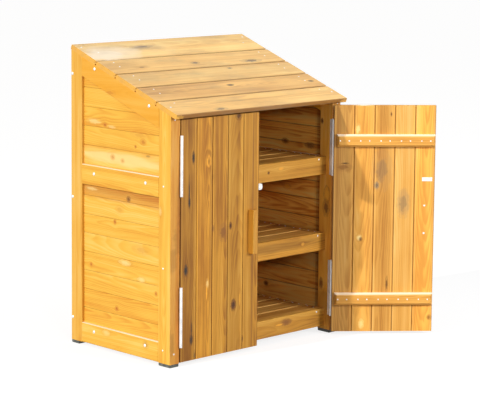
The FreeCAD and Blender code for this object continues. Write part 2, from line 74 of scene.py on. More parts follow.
def srgb(red: int, green: int, blue: int) -> Colour:
    """Linear colour of three screen colour steps."""
    return linear(red), linear(green), linear(blue)


@dataclass(frozen=True)
class Layer:
    """One layer of noise."""

    scale: Point  # features per metre along, across and into the surface
    detail: float  # number of finer layers in it
    roughness: float = 0.5  # strength of the finer layers
    share: float = 1.0  # how far it shows


class Tree:
    """Adds and links nodes in one node tree."""

    MIX_SHARE, MIX_FIRST, MIX_SECOND, MIXED = 0, 6, 7, 2  # colour sockets of the mix node

    def __init__(self, tree: bpy.types.NodeTree) -> None:
        """Keeps the tree that the nodes go into."""
        self.tree = tree

    def fill(self, sockets: Inputs, values: Values) -> None:
        """Links sockets to others, or sets their plain values.

        Args:
            sockets: the sockets to feed.
            values: sockets, numbers or rows of numbers, in order, or by name or number.
        """
        for key, value in values.items() if isinstance(values, dict) else enumerate(values):
            socket = sockets[key]
            if isinstance(value, Socket):
                self.tree.links.new(value, socket)
            elif isinstance(value, (int, float)):
                socket.default_value = value
            else:
                opaque = [1.0] * (len(socket.default_value) - len(value))
                socket.default_value = (*value, *opaque)

    def add(self, kind: str, values: Values = (), **settings: object) -> Outputs:
        """Adds a node.

        Args:
            kind: the node's type, after the word ShaderNode.
            values: what its inputs take.
            settings: properties to set on it.

        Returns:
            The node's outputs.
        """
        node = self.tree.nodes.new(f"ShaderNode{kind}")
        for name, setting in settings.items():
            setattr(node, name, setting)
        self.fill(node.inputs, values)
        return node.outputs

    def group(self, tree: bpy.types.NodeTree, **values: Input) -> Outputs:
        """Places a node group with its own values."""
        return self.add("Group", values, node_tree=tree)

    def math(self, operation: str, *operands: Input) -> Socket:
        """One step of arithmetic."""
        return self.add("Math", operands, operation=operation)[0]

    def times(self, first: Input, second: Input) -> Socket:
        """Product of two values."""
        return self.math("MULTIPLY", first, second)

    def less(self, first: Input, second: Input) -> Socket:
        """One value less another."""
        return self.math("SUBTRACT", first, second)

    def plus(self, value: Input, share: Input, base: Input) -> Socket:
        """Adds a share of a value to a base."""
        return self.math("MULTIPLY_ADD", value, share, base)

    def swing(self, value: Input, share: Input, base: Input) -> Socket:
        """Adds a share of how far a value lies from a half to a base."""
        return self.plus(self.less(value, 0.5), share, base)

    def vector(self, operation: str, *operands: Input) -> Socket:
        """One step of vector arithmetic that gives a vector."""
        return self.add("VectorMath", operands, operation=operation)["Vector"]

    def measure(self, operation: str, *operands: Input) -> Socket:
        """One step of vector arithmetic that gives a number."""
        return self.add("VectorMath", operands, operation=operation)["Value"]

    def parts(self, place: Input) -> Outputs:
        """The three numbers of a vector."""
        return self.add("SeparateXYZ", (place,))

    def joined(self, *numbers: Input) -> Socket:
        """The vector of three numbers."""
        return self.add("CombineXYZ", numbers)[0]

    def noise(self, place: Input, layer: Layer) -> Socket:
        """Reads a layer of noise.

        Args:
            place: where to read it, in metres.
            layer: its scale and detail.

        Returns:
            A value of 0 to 1.
        """
        values = {"Scale": 1.0, "Detail": layer.detail, "Roughness": layer.roughness}
        values["Vector"] = self.vector("MULTIPLY", place, layer.scale)
        return self.add("TexNoise", values)[0]

    def ease(self, value: Input, low: Input, high: Input) -> Socket:
        """Smooth step from 0 at low to 1 at high."""
        values = {"Value": value, "From Min": low, "From Max": high}
        return self.add("MapRange", values, interpolation_type="SMOOTHSTEP")["Result"]

    def inside(self, value: Input, full: Input, none: Input) -> Socket:
        """Smooth step from 1 at full down to 0 at none."""
        return self.less(1.0, self.ease(value, full, none))

    def mix(self, share: Input, first: Input, second: Input, blend: str = "MIX") -> Socket:
        """Mixes a share of the second colour into the first."""
        values = {self.MIX_SHARE: share, self.MIX_FIRST: first, self.MIX_SECOND: second}
        return self.add("Mix", values, data_type="RGBA", blend_type=blend)[self.MIXED]

    def bump(self, height: Input, strength: float, distance: float) -> Socket:
        """Normal of a relief, from its strength and its depth in metres."""
        return self.add("Bump", {"Height": height, "Strength": strength, "Distance": distance})[0]


class Kind(Enum):
    """Kinds of group socket."""

    VALUE = "NodeSocketFloat"
    VECTOR = "NodeSocketVector"
    COLOUR = "NodeSocketColor"


def open_group(
    name: str, inputs: dict[Kind, str], outputs: dict[Kind, str]
) -> tuple[Tree, Outputs, Inputs]:
    """Starts a shader node group.

    Args:
        name: the group's name.
        inputs: names of its inputs, by kind.
        outputs: names of its outputs, by kind.

    Returns:
        The group's tree, its inputs to read and its outputs to feed.
    """
    tree = bpy.data.node_groups.new(name, "ShaderNodeTree")
    for way, rows in (("INPUT", inputs), ("OUTPUT", outputs)):
        for kind, labels in rows.items():
            for label in labels.split():
                tree.interface.new_socket(name=label, in_out=way, socket_type=kind.value)
    start, end = tree.nodes.new("NodeGroupInput"), tree.nodes.new("NodeGroupOutput")
    return Tree(tree), start.outputs, end.inputs


PANEL_STEP = 31.0  # keeps the numbers of the boards before and past Break apart


@cache
def board_axes() -> bpy.types.NodeTree:
    """Finds a point's board, and its place along, across and into that board.

    Returns:
        The group. Past Break, the boards' joints lie Step further on.
    """
    tree, read, feed = open_group(
        "board_axes",
        {Kind.VECTOR: "Point Origin Across Along", Kind.VALUE: "Pitch Break Step"},
        {Kind.VECTOR: "Sheet Place", Kind.VALUE: "Board Edge"},
    )
    offset = tree.vector("SUBTRACT", read["Point"], read["Origin"])
    inwards = tree.vector("CROSS_PRODUCT", read["Across"], read["Along"])
    along, across, depth = (
        tree.measure("DOT_PRODUCT", offset, way) for way in (read["Along"], read["Across"], inwards)
    )
    past = tree.math("GREATER_THAN", across, read["Break"])
    moved = tree.less(across, tree.times(past, read["Step"]))
    board = tree.math("FLOOR", tree.math("DIVIDE", moved, read["Pitch"]))
    local = tree.less(moved, tree.times(tree.math("ADD", board, 0.5), read["Pitch"]))
    tree.fill(feed, {
        "Sheet": tree.joined(along, across, depth),
        "Place": tree.joined(along, local, depth),
        "Board": tree.plus(past, PANEL_STEP, board),
        "Edge": tree.less(tree.times(read["Pitch"], 0.5), tree.math("ABSOLUTE", local)),
    })
    return tree.tree


SEED_STEP = 13.7  # keeps the boards of different panels apart
SCATTER = 37.0  # how far apart in the pattern two boards are cut
WANDER = Layer((1.6, 8.0, 8.0), 3.0, share=0.04)  # bends in the year rings
STREAK = Layer((1.2, 55.0, 55.0), 4.0, 0.6, 1.1)  # fine streaks along the board
FIBRE = Layer((15.0, 650.0, 650.0), 3.0, 0.65, 0.4)
BROAD = Layer((0.9, 16.0, 16.0), 2.0, share=0.8)  # broad streaks along the board
CLOUD = Layer((4.5, 13.0, 13.0), 3.0, share=0.6)  # uneven take-up of the stain
RINGS = 190.0  # year rings to a metre
PITH_SIDE = 0.09  # how far the pith lies to either side
PITH_DEPTH, PITH_SPREAD = 0.012, 0.05  # least depth of the pith, and how much deeper it may lie
PITH_TILT = 0.12  # how steeply the pith runs along the board
LATE_START, LATE_END = (0.05, 0.8), (0.84, 1.0)  # parts of a year where late wood comes and goes
LATE_LEVEL = 0.4  # darkness of the late wood that leaves the tone as it is
TO_MIDDLE, TO_LIGHT = (0.05, 0.55), (0.45, 0.95)  # tones between the three colours
KNOT_CELLS = (2.6, 6.4, 1.0)  # places for a knot to a metre
KNOT_SWAY = 0.05  # unevenness of a knot's outline
HEART, HEART_COVER, HEART_COLOUR = (0.018, 0.045), 0.55, srgb(96, 56, 22)  # a knot's heart
HALO, HALO_COVER = (0.03, 0.14), 0.5  # darker wood round a knot
MATT, MATT_LATE, MATT_FIBRE = 0.44, -0.08, 0.24  # roughness, and its change on late wood and fibres
RELIEF_LATE, RELIEF_FIBRE = 0.45, 0.55  # how far late wood and fibres stand out
RELIEF_HEART = -0.5  # how far a knot's heart sinks in


def late_wood(tree: Tree, board: Socket, place: Socket, throw: Outputs) -> Socket:
    """Cuts a board out of a trunk whose pith lies under it.

    Args:
        tree: the wood_grain group's tree.
        board: place on the board.
        place: place in the pattern.
        throw: three random numbers of the board's own.

    Returns:
        How far a point lies in late wood, from 0 to 1.
    """
    along, across, depth = tree.parts(board)
    side = tree.swing(throw[0], PITH_SIDE, across)
    tilt = tree.times(tree.less(throw[2], 0.5), PITH_TILT)
    under = tree.math("ADD", tree.plus(throw[1], PITH_SPREAD, PITH_DEPTH), depth)
    deep = tree.plus(along, tilt, under)
    reach = tree.math("POWER", tree.plus(side, side, tree.times(deep, deep)), 0.5)
    bent = tree.swing(tree.noise(place, WANDER), WANDER.share, reach)
    year = tree.math("FRACT", tree.times(bent, RINGS))
    return tree.less(tree.ease(year, *LATE_START), tree.ease(year, *LATE_END))


@cache
def wood_grain() -> bpy.types.NodeTree:
    """Year rings, streaks, fibres, scattered knots and a tone of its own for each board.

    Returns:
        The group.
    """
    tree, read, feed = open_group(
        "wood_grain",
        {
            Kind.VECTOR: "Place", Kind.COLOUR: "Light Middle Dark",
            Kind.VALUE: "Board Seed Spread Contrast Figure Knots",
        },
        {Kind.COLOUR: "Color", Kind.VALUE: "Roughness Height"},
    )
    number = tree.plus(read["Seed"], SEED_STEP, read["Board"])
    throw = tree.parts(tree.add("TexWhiteNoise", {"W": number}, noise_dimensions="1D")["Color"])
    cut_from = tree.joined(*(tree.times(side, SCATTER) for side in throw))
    place = tree.vector("ADD", read["Place"], cut_from)
    late = late_wood(tree, read["Place"], place, throw)
    layers = {layer: tree.noise(place, layer) for layer in (STREAK, FIBRE, BROAD, CLOUD)}
    level = tree.swing(throw[2], read["Spread"], 0.5)
    for layer, value in layers.items():
        level = tree.swing(value, tree.times(read["Contrast"], layer.share), level)
    level = tree.plus(tree.less(LATE_LEVEL, late), read["Figure"], level)
    colour = tree.mix(tree.ease(level, *TO_MIDDLE), read["Dark"], read["Middle"])
    colour = tree.mix(tree.ease(level, *TO_LIGHT), colour, read["Light"])
    spots = {"Vector": tree.vector("MULTIPLY", place, KNOT_CELLS), "Scale": 1.0}
    cells = tree.add("TexVoronoi", spots, voronoi_dimensions="2D")
    chosen = tree.math("LESS_THAN", tree.parts(cells["Color"])[0], read["Knots"])
    reach = tree.swing(layers[CLOUD], KNOT_SWAY, cells["Distance"])
    heart, halo = (tree.times(tree.inside(reach, *span), chosen) for span in (HEART, HALO))
    colour = tree.mix(tree.times(halo, HALO_COVER), colour, read["Dark"])
    fibre, matt = layers[FIBRE], tree.plus(late, MATT_LATE, MATT)
    relief = tree.plus(late, RELIEF_LATE, tree.times(fibre, RELIEF_FIBRE))
    tree.fill(feed, {
        "Color": tree.mix(tree.times(heart, HEART_COVER), colour, HEART_COLOUR),
        "Roughness": tree.plus(fibre, MATT_FIBRE, matt),
        "Height": tree.plus(heart, RELIEF_HEART, relief),
    })
    return tree.tree


RAGGED = Layer((2.3, 1.7, 1.0), 4.0, share=1.1)  # unevenness of a mark's outline
EDGE, FADED = 1.05, 1.1  # where a mark ends and has faded out, in shares of its size
CORE = (0.4, 0.75)  # reach of its heart
OUTLINE = (0.06, 0.3)  # half width of its outline
BOW_FALL = -0.16  # how fast the bow of the grain round it dies away


@cache
def board_mark() -> bpy.types.NodeTree:
    """Masks of one knot, streak or patch, and how the grain bows round it.

    Returns:
        The group.
    """
    tree, read, feed = open_group(
        "board_mark",
        {Kind.VECTOR: "Sheet Centre Size", Kind.VALUE: "Soft"},
        {Kind.VALUE: "Mask Core Line", Kind.VECTOR: "Bow"},
    )
    offset = tree.vector("SUBTRACT", read["Sheet"], read["Centre"])
    shares = tree.vector("DIVIDE", offset, read["Size"])
    reach = tree.measure("LENGTH", shares)
    uneven = tree.swing(tree.noise(shares, RAGGED), RAGGED.share, reach)
    past = tree.math("ABSOLUTE", tree.less(uneven, EDGE))
    pull = tree.math("EXPONENT", tree.times(tree.times(reach, reach), BOW_FALL))
    tree.fill(feed, {
        "Mask": tree.inside(uneven, tree.less(EDGE, read["Soft"]), FADED),
        "Core": tree.inside(uneven, *CORE),
        "Line": tree.inside(past, *OUTLINE),
        "Bow": tree.joined(0.0, tree.times(tree.parts(offset)[1], pull), 0.0),
    })
    return tree.tree


DRIFT = Layer((3.2, 10.0, 10.0), 5.0, 0.62)  # broad weather stains
SPECK = Layer((70.0, 150.0, 150.0), 2.0, share=0.8)  # specks in them
SPECK_BASE = 0.5  # cover between the specks
DRIFT_REACH = (0.42, 0.72)  # how much of the drift is stained
BLOOM = Layer((70.0, 70.0, 50.0), 4.0, 0.6)  # cloudy patches on metal and plastic
BLOOM_REACH = (0.38, 0.7)  # how much of the bloom is worn
SKIN = Layer((1100.0, 1100.0, 300.0), 2.0)  # fine skin of metal and plastic


@cache
def weathering() -> bpy.types.NodeTree:
    """Lays grey weather stains over a colour.

    Returns:
        The group.
    """
    tree, read, feed = open_group(
        "weathering",
        {Kind.VECTOR: "Sheet", Kind.COLOUR: "Color Stain", Kind.VALUE: "Amount"},
        {Kind.COLOUR: "Color"},
    )
    drift = tree.ease(tree.noise(read["Sheet"], DRIFT), *DRIFT_REACH)
    patch = tree.plus(tree.noise(read["Sheet"], SPECK), SPECK.share, SPECK_BASE)
    cover = tree.times(tree.times(drift, patch), read["Amount"])
    tree.fill(feed, {"Color": tree.mix(cover, read["Color"], read["Stain"])})
    return tree.tree


@cache
def surface_wear() -> bpy.types.NodeTree:
    """Cloudy patches and a fine skin, for plated metal and moulded plastic.

    Returns:
        The group.
    """
    tree, read, feed = open_group(
        "surface_wear",
        {Kind.VECTOR: "Point", Kind.COLOUR: "Fresh Worn", Kind.VALUE: "Smooth Change"},
        {Kind.COLOUR: "Color", Kind.VALUE: "Roughness Height"},
    )
    bloom = tree.noise(read["Point"], BLOOM)
    tree.fill(feed, {
        "Color": tree.mix(tree.ease(bloom, *BLOOM_REACH), read["Fresh"], read["Worn"]),
        "Roughness": tree.plus(bloom, read["Change"], read["Smooth"]),
        "Height": tree.noise(read["Point"], SKIN),
    })
    return tree.tree


def new_material(name: str) -> tuple[bpy.types.Material, Tree, Inputs, Socket]:
    """Starts a material.

    Args:
        name: the material's name.

    Returns:
        The material, its tree, its main shader's inputs and the Object coordinates.
    """
    material = bpy.data.materials.new(name)
    material.use_nodes = True
    tree = Tree(material.node_tree)
    shader = material.node_tree.nodes["Principled BSDF"]
    return material, tree, shader.inputs, tree.add("TexCoord")["Object"]


def coat(node: str, material: bpy.types.Material) -> None:
    """Gives a CAD node its finish.

    Args:
        node: the node's name.
        material: the finish.
    """
    piece = frame["nodes"][node]
    if not piece.material_slots:
        piece.data.materials.append(material)
    for slot in piece.material_slots:
        slot.material = material
    log.info("%s: %s", node, material.name)


@dataclass(frozen=True)
class Stain:
    """Colours of a mark's heart, rim and outline."""

    core: Colour
    rim: Colour
    line: Colour


class Tone(Enum):
    """Kinds of mark in the boards; some also paint highlights."""

    KNOT = Stain(srgb(78, 44, 18), srgb(128, 76, 32), srgb(112, 66, 26))
    BLUE_KNOT = Stain(srgb(30, 36, 38), srgb(86, 60, 36), srgb(100, 66, 34))
    HONEY_KNOT = Stain(srgb(190, 108, 36), srgb(222, 150, 56), srgb(206, 128, 44))
    PALE = Stain(srgb(252, 224, 156), srgb(250, 212, 128), srgb(214, 146, 56))
    # golden wood; also painted light: a sunlit patch on a post, highlights beside door joints
    GLOW = Stain(srgb(246, 178, 62), srgb(238, 166, 60), srgb(176, 112, 40))
    SHADE = Stain(srgb(140, 90, 42), srgb(148, 96, 44), srgb(160, 106, 50))
    GREY = Stain(srgb(112, 98, 78), srgb(164, 134, 98), srgb(176, 140, 96))
    # pale worn wood; also a painted highlight on a door's top end
    BLEACHED = Stain(srgb(252, 238, 216), srgb(248, 224, 182), srgb(244, 210, 150))
    EAVES = Stain(srgb(150, 100, 34), srgb(150, 100, 34), srgb(148, 98, 34))
    SAWN_END = Stain(srgb(240, 178, 70), srgb(240, 178, 70), srgb(240, 178, 70))


class Tint(Enum):
    """Factors of the wood's colour that keep the grain: changes of tone, and painted light and
    shade.
    """

    # darker tone; on the right side's inner face, the front left post and the eaves it is painted
    # shade
    DIM = (0.55, 0.52, 0.55)
    # bluish darkening: painted shade
    DUSK = (0.62, 0.69, 1.0)
    ORANGE = (0.82, 0.68, 0.86)
    # lifts the colour past the wood's own: painted light
    AMBER = (1.7, 1.9, 1.6)
    # tones the paler inside stain back to the plain honey stain on outer faces
    HONEYED = (0.95, 0.93, 0.5)
    BRIGHT = (1.3, 1.3, 1.2)
    BROWNED = (0.8, 0.74, 0.5)
    RUDDY = (1.0, 0.83, 0.84)


@dataclass(frozen=True)
class Mark:
    """One knot, streak or patch, painted highlight or painted shade, in metres from its panel's
    origin.
    """

    along: float
    across: float
    length: float  # half length along the boards
    width: float  # half width across the boards
    tone: Tone | Tint
    strength: float = 0.85  # how far it covers the wood
    bow: float = 0.0  # how far the grain bows round it
    soft: float = 0.6  # share of its size that fades out
    depth: float = 1.0  # half depth into the wood
    inset: float = 0.0  # place into the wood

    def shown(self, tree: Tree, sheet: Socket) -> Outputs:
        """Places the mark's masks in a material.

        Args:
            tree: the material's tree.
            sheet: place on the panel.

        Returns:
            The masks.
        """
        return tree.group(
            board_mark(), Sheet=sheet, Centre=(self.along, self.across, self.inset),
            Size=(self.length, self.width, self.depth), Soft=self.soft,
        )

    def painted(self, tree: Tree, masks: Outputs, colour: Socket) -> Socket:
        """Lays the mark over a colour.

        Args:
            tree: the material's tree.
            masks: the mark's masks.
            colour: the wood's colour.

        Returns:
            The colour with the mark.
        """
        stain, strength = self.tone.value, self.strength
        if isinstance(self.tone, Tint):
            return tree.mix(tree.times(masks["Mask"], strength), colour, stain, "MULTIPLY")
        for mask, cover, shade in (
            ("Line", strength / 2, stain.line), ("Mask", strength, stain.rim),
            ("Core", strength, stain.core),
        ):
            colour = tree.mix(tree.times(masks[mask], cover), colour, shade)
        return colour


def knot(
    along: float, across: float, length: float, width: float, tone: Tone, strength: float = 0.85
) -> Mark:
    """A crisp mark that the grain bows round."""
    return Mark(along, across, length, width, tone, strength, bow=0.9, soft=0.25)


@dataclass(frozen=True)
class BoardAxes:
    """Where a panel's boards start, and which way they lie and follow each other."""

    origin: Point
    along: Point  # the boards' length
    across: Point  # from one board to the next
    pitch: float  # cover of each board
    break_at: float = 100.0  # distance across, past which the joints move on
    step: float = 0.0  # how far they move on there


def middle_and_pitch(node: str) -> tuple[Vector, float]:
    """A piece's middle, and a pitch that holds it well inside one board."""
    low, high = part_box(node)
    return (low + high) / 2, 2 * (high - low).length


def lone_axes(node: str, along: Point, across: Point) -> BoardAxes:
    """Axes of a single piece, with its own middle as the board's middle."""
    middle, pitch = middle_and_pitch(node)
    return BoardAxes(tuple(middle - Vector(across) * (pitch / 2)), along, across, pitch)


def corner_axes(node: str, origin: Point, along: Point, across: Point) -> BoardAxes:
    """Axes of a single piece whose marks are measured from a corner.

    Args:
        node: the node's name.
        origin: the corner.
        along: the grain's direction.
        across: direction over its face.

    Returns:
        The axes, with the piece's middle as the board's middle and no edges nearby.
    """
    centre, pitch = middle_and_pitch(node)
    middle = (centre - Vector(origin)).dot(Vector(across))
    return BoardAxes(origin, along, across, pitch, -2 * pitch - abs(middle), middle - pitch / 2)


@dataclass(frozen=True)
class StainedWood:
    """Softwood boards under a honey-coloured stain."""

    name: str
    light: Colour  # sapwood
    middle: Colour
    dark: Colour  # late wood
    spread: float = 0.3  # difference of tone between boards
    contrast: float = 0.7  # strength of the streaks and clouds
    figure: float = 0.2  # strength of the year rings
    knots: float = 0.06  # share of places that hold a knot
    weather: float = 0.0  # cover of grey weather stains
    joint: float = 0.0  # darkening at the boards' edges
    joint_width: float = 0.003
    joint_colour: Colour = srgb(92, 52, 18)
    deep: float = 0.0  # darkening of what lies below the face: painted shade in the gaps between the boards and under them
    deep_reach: Span = (0.002, 0.004)
    deep_colour: Colour = srgb(88, 50, 18)
    worn: float = 0.0  # paleness of a line along the boards' edges: a painted highlight where the edges catch the light
    worn_at: float = 0.0  # distance of that line from the joint
    worn_reach: Span = (0.001, 0.003)  # half width of that line
    gloss: float = 0.3  # specular level of the stain
    relief: float = 0.35  # strength of the grain's relief
    relief_depth: float = 0.0006

    def dress(self, node: str, axes: BoardAxes, seed: int, marks: Sequence[Mark] = ()) -> None:
        """Stains one piece or panel.

        Args:
            node: the node's name.
            axes: how its boards lie.
            seed: number that sets its grain apart.
            marks: knots and patches that it shows.
        """
        made, tree, shader, point = new_material(f"{self.name}_{node}")
        board = tree.group(
            board_axes(), Point=point, Origin=axes.origin, Across=axes.across, Along=axes.along,
            Pitch=axes.pitch, Break=axes.break_at, Step=axes.step,
        )
        place, masks = board["Place"], [mark.shown(tree, board["Sheet"]) for mark in marks]
        for mark, shown in zip(marks, masks):
            if mark.bow:
                bow = tree.vector("MULTIPLY", shown["Bow"], (mark.bow, mark.bow, mark.bow))
                place = tree.vector("SUBTRACT", place, bow)
        grain = tree.group(
            wood_grain(), Place=place, Board=board["Board"], Seed=float(seed),
            Light=self.light, Middle=self.middle, Dark=self.dark, Spread=self.spread,
            Contrast=self.contrast, Figure=self.figure, Knots=self.knots,
        )
        colour = self.shade_joints(tree, board, grain["Color"])
        for mark, shown in zip(marks, masks):
            colour = mark.painted(tree, shown, colour)
        tree.fill(shader, {
            "Base Color": self.age(tree, board, colour),
            "Roughness": grain["Roughness"],
            "Normal": tree.bump(grain["Height"], self.relief, self.relief_depth),
            "Specular IOR Level": self.gloss,
        })
        coat(node, made)

    def shade_joints(self, tree: Tree, board: Outputs, colour: Socket) -> Socket:
        """Darkens what lies below the face, as painted shade, and beside the joints.

        Args:
            tree: the material's tree.
            board: the board's axes.
            colour: the wood's colour.

        Returns:
            The darkened colour.
        """
        # painted shade on everything below the face
        if self.deep:
            below = tree.ease(tree.parts(board["Sheet"])[2], *self.deep_reach)
            colour = tree.mix(tree.times(below, self.deep), colour, self.deep_colour)
        if self.joint:
            line = tree.inside(board["Edge"], self.joint_width / 4, self.joint_width)
            colour = tree.mix(tree.times(line, self.joint), colour, self.joint_colour)
        return colour

    def age(self, tree: Tree, board: Outputs, colour: Socket) -> Socket:
        """Adds the weather stains and the painted highlight along the edges.

        Args:
            tree: the material's tree.
            board: the board's axes.
            colour: the wood's colour.

        Returns:
            The aged colour.
        """
        if self.weather:
            colour = tree.group(
                weathering(), Sheet=board["Sheet"], Color=colour, Stain=Tone.GREY.value.rim,
                Amount=self.weather,
            )["Color"]
        # pale line along the edges: painted highlight
        if self.worn:
            off = tree.math("ABSOLUTE", tree.less(board["Edge"], self.worn_at))
            edge_highlight = tree.times(tree.inside(off, *self.worn_reach), self.worn)
            colour = tree.mix(edge_highlight, colour, self.light)
        return colour


@dataclass(frozen=True)
class WornFinish:
    """Plated metal or moulded plastic with cloudy wear and a fine skin."""

    name: str
    fresh: Colour
    worn: Colour  # colour of the worn or dusty patches
    metallic: float
    smooth: float  # least roughness
    change: float  # how much rougher the worn patches are
    relief: float  # strength of the skin
    relief_depth: float = 0.0002

    @cache
    def material(self) -> bpy.types.Material:
        """Builds the finish, once for all the pieces that have it.

        Returns:
            The material.
        """
        made, tree, shader, point = new_material(self.name)
        wear = tree.group(
            surface_wear(), Point=point, Fresh=self.fresh, Worn=self.worn, Smooth=self.smooth,
            Change=self.change,
        )
        tree.fill(shader, {
            "Base Color": wear["Color"],
            "Roughness": wear["Roughness"],
            "Normal": tree.bump(wear["Height"], self.relief, self.relief_depth),
            "Metallic": self.metallic,
        })
        return made

    def dress(self, *nodes: str) -> None:
        """Finishes pieces."""
        for node in nodes:
            coat(node, self.material())


HONEY = StainedWood(
    "honey_stain", srgb(250, 206, 106), srgb(242, 187, 70), srgb(226, 152, 48),
    contrast=0.75, figure=0.24, joint=0.28, joint_width=0.002,
)
RAIL = replace(HONEY, name="rail_stain", contrast=1.0, figure=0.2, joint=0.0)
TOP_RAIL = StainedWood(
    "top_rail_stain", srgb(250, 192, 78), srgb(242, 175, 50), srgb(226, 142, 34),
    contrast=0.6, figure=0.1,
)
# worn: a pale line beside each joint, a painted highlight on the groove's lit edge
BROWN = StainedWood(
    "brown_stain", srgb(226, 170, 74), srgb(210, 148, 52), srgb(160, 102, 32),
    contrast=1.1, joint=0.6, worn=0.35, worn_at=0.006,
)
GOLDEN = StainedWood(
    "golden_stain", srgb(242, 191, 107), srgb(229, 167, 76), srgb(197, 134, 56),
    contrast=1.0, joint=0.6, worn=0.3, worn_at=0.006,
)
# paler copy of the stain for the inside: painted light that brightens the shaded inside
INNER_PAINTED_LIGHT = StainedWood(
    "inner_stain", srgb(255, 208, 116), srgb(255, 190, 86), srgb(216, 132, 46),
    contrast=1.5, figure=0.3, joint=0.6,
)
# worn: a painted highlight on the slats' lit edges
SLAT = StainedWood(
    "slat_stain", srgb(226, 178, 98), srgb(196, 136, 58), srgb(152, 96, 34),
    contrast=0.9, worn=0.45,
)
AMBER = StainedWood(
    "amber_stain", srgb(214, 156, 68), srgb(200, 139, 52), srgb(170, 108, 37), contrast=1.0
)
# deep: painted shade in the gaps between the roof boards and under them
ROOF = StainedWood(
    "roof_stain", srgb(254, 219, 145), srgb(241, 193, 117), srgb(206, 152, 84),
    contrast=0.8, weather=0.5, joint=0.4, joint_width=0.004, deep=0.9, gloss=0.5,
)
ZINC = WornFinish(
    "zinc_plate", srgb(250, 250, 250), srgb(224, 226, 228),
    metallic=0.3, smooth=0.2, change=0.34, relief=0.12,
)
NAIL = WornFinish(
    "galvanised_nail", srgb(252, 252, 250), srgb(226, 226, 222),
    metallic=0.25, smooth=0.3, change=0.3, relief=0.12,
)
FOOT_PLASTIC = WornFinish(
    "foot_plastic", srgb(66, 70, 66), srgb(112, 114, 106),
    metallic=0.0, smooth=0.4, change=0.4, relief=0.2,
)
CATCH_PLASTIC = WornFinish(
    "catch_plastic", srgb(252, 252, 248), srgb(234, 234, 228),
    metallic=0.0, smooth=0.2, change=0.3, relief=0.1,
)

WHOLE = 4.0  # half size of a mark that covers its piece from end to end
RUN = 2.0  # half length of one that runs along a whole board or rail, with a more uneven edge

# side boards: from the front face, and by height
LEFT_SIDE_MARKS = (
    knot(0.376, 0.854, 0.010, 0.008, Tone.HONEY_KNOT, 0.9),
    Mark(0.438, 0.862, 0.050, 0.012, Tone.PALE, 0.4),
    Mark(0.338, 0.850, 0.030, 0.008, Tone.PALE, 0.3),
    knot(0.180, 0.834, 0.050, 0.012, Tone.HONEY_KNOT, 0.2),
    knot(0.162, 0.811, 0.016, 0.011, Tone.HONEY_KNOT, 0.55),
    knot(0.204, 0.790, 0.006, 0.006, Tone.HONEY_KNOT),
    Mark(0.280, 0.734, 0.420, 0.034, Tone.PALE, 0.5),
    knot(0.332, 0.738, 0.012, 0.010, Tone.HONEY_KNOT, 0.4),
    knot(0.276, 0.730, 0.010, 0.008, Tone.HONEY_KNOT, 0.35),
    Mark(0.280, 0.604, RUN, 0.036, Tint.ORANGE, 0.8),
    Mark(0.280, 0.614, RUN, 0.022, Tint.DIM, 0.3),
    knot(0.242, 0.591, 0.011, 0.010, Tone.KNOT, 0.55),
    Mark(0.454, 0.606, 0.045, 0.008, Tone.PALE, 0.35),
    knot(0.293, 0.546, 0.022, 0.013, Tone.HONEY_KNOT, 0.2),
    knot(0.319, 0.497, 0.008, 0.009, Tone.HONEY_KNOT),
    knot(0.167, 0.411, 0.050, 0.016, Tone.HONEY_KNOT, 0.2),
    Mark(0.261, 0.350, 0.036, 0.011, Tone.PALE, 0.5, soft=0.2),
    knot(0.456, 0.316, 0.007, 0.007, Tone.HONEY_KNOT),
    Mark(0.170, 0.300, 0.022, 0.010, Tone.PALE, 0.45, soft=0.2),
    knot(0.089, 0.261, 0.007, 0.008, Tone.HONEY_KNOT, 0.75),
    knot(0.308, 0.170, 0.010, 0.009, Tone.HONEY_KNOT),
)
RIGHT_SIDE_MARKS = (
    knot(0.274, 0.733, 0.018, 0.010, Tone.KNOT, 0.6),
    knot(0.137, 0.728, 0.028, 0.011, Tone.SHADE, 0.7),
    # outer face toned back from the paler inside stain to the plain honey stain
    Mark(0.250, 0.500, WHOLE, WHOLE, Tint.HONEYED, 1.0, depth=0.006),
    # painted shade on the inner face: low down, under the roof, behind the front post and under the
    # shelves
    Mark(0.250, 0.230, WHOLE, 0.200, Tint.DIM, 0.5, depth=0.006, inset=0.015),
    Mark(0.250, 0.900, WHOLE, 0.080, Tint.DIM, 0.7, depth=0.006, inset=0.015),
    Mark(0.250, 0.310, WHOLE, 0.075, Tint.DIM, 0.6, depth=0.006, inset=0.015),
    Mark(0.085, 0.500, 0.024, WHOLE, Tint.DIM, 0.9, depth=0.006, inset=0.015),
    Mark(0.440, 0.875, 0.240, 0.045, Tint.DIM, 1.0, depth=0.006, inset=0.015),
    Mark(0.420, 0.580, 0.200, 0.040, Tint.DIM, 1.0, depth=0.006, inset=0.015),
    Mark(0.420, 0.250, 0.240, 0.050, Tint.DIM, 1.0, depth=0.006, inset=0.015),
    Mark(0.261, 0.551, 0.020, 0.010, Tone.GLOW, 0.5),
    knot(0.372, 0.139, 0.012, 0.009, Tone.KNOT, 0.8),
)

# pale upper edges of the side rails, and of the doors' ledges
RUBBED_RAILS = {
    "mid": (Mark(0.250, 0.6965, RUN, 0.003, Tone.BLEACHED, 0.85),),
    "bottom": (Mark(0.250, 0.0885, RUN, 0.003, Tone.BLEACHED, 0.85),),
}
RUBBED_LEDGES = {
    "upper": (Mark(0.190, 0.791, RUN, 0.006, Tone.BLEACHED, 0.65),),
    "lower": (Mark(0.190, 0.168, RUN, 0.006, Tone.BLEACHED, 0.65),),
}

# left side rails: from the front face, and by height
LEFT_RAIL_MARKS = {
    "bottom": (
        Mark(0.355, 0.071, 0.024, 0.012, Tone.PALE, 0.35, soft=0.3),
        Mark(0.133, 0.065, 0.016, 0.014, Tone.SHADE, 0.3),
    ),
    "top": (
        Mark(0.337, 0.978, 0.030, 0.010, Tone.HONEY_KNOT, 0.3),
        Mark(0.250, 1.0, WHOLE, WHOLE, Tint.ORANGE, 0.3),
    ),
}

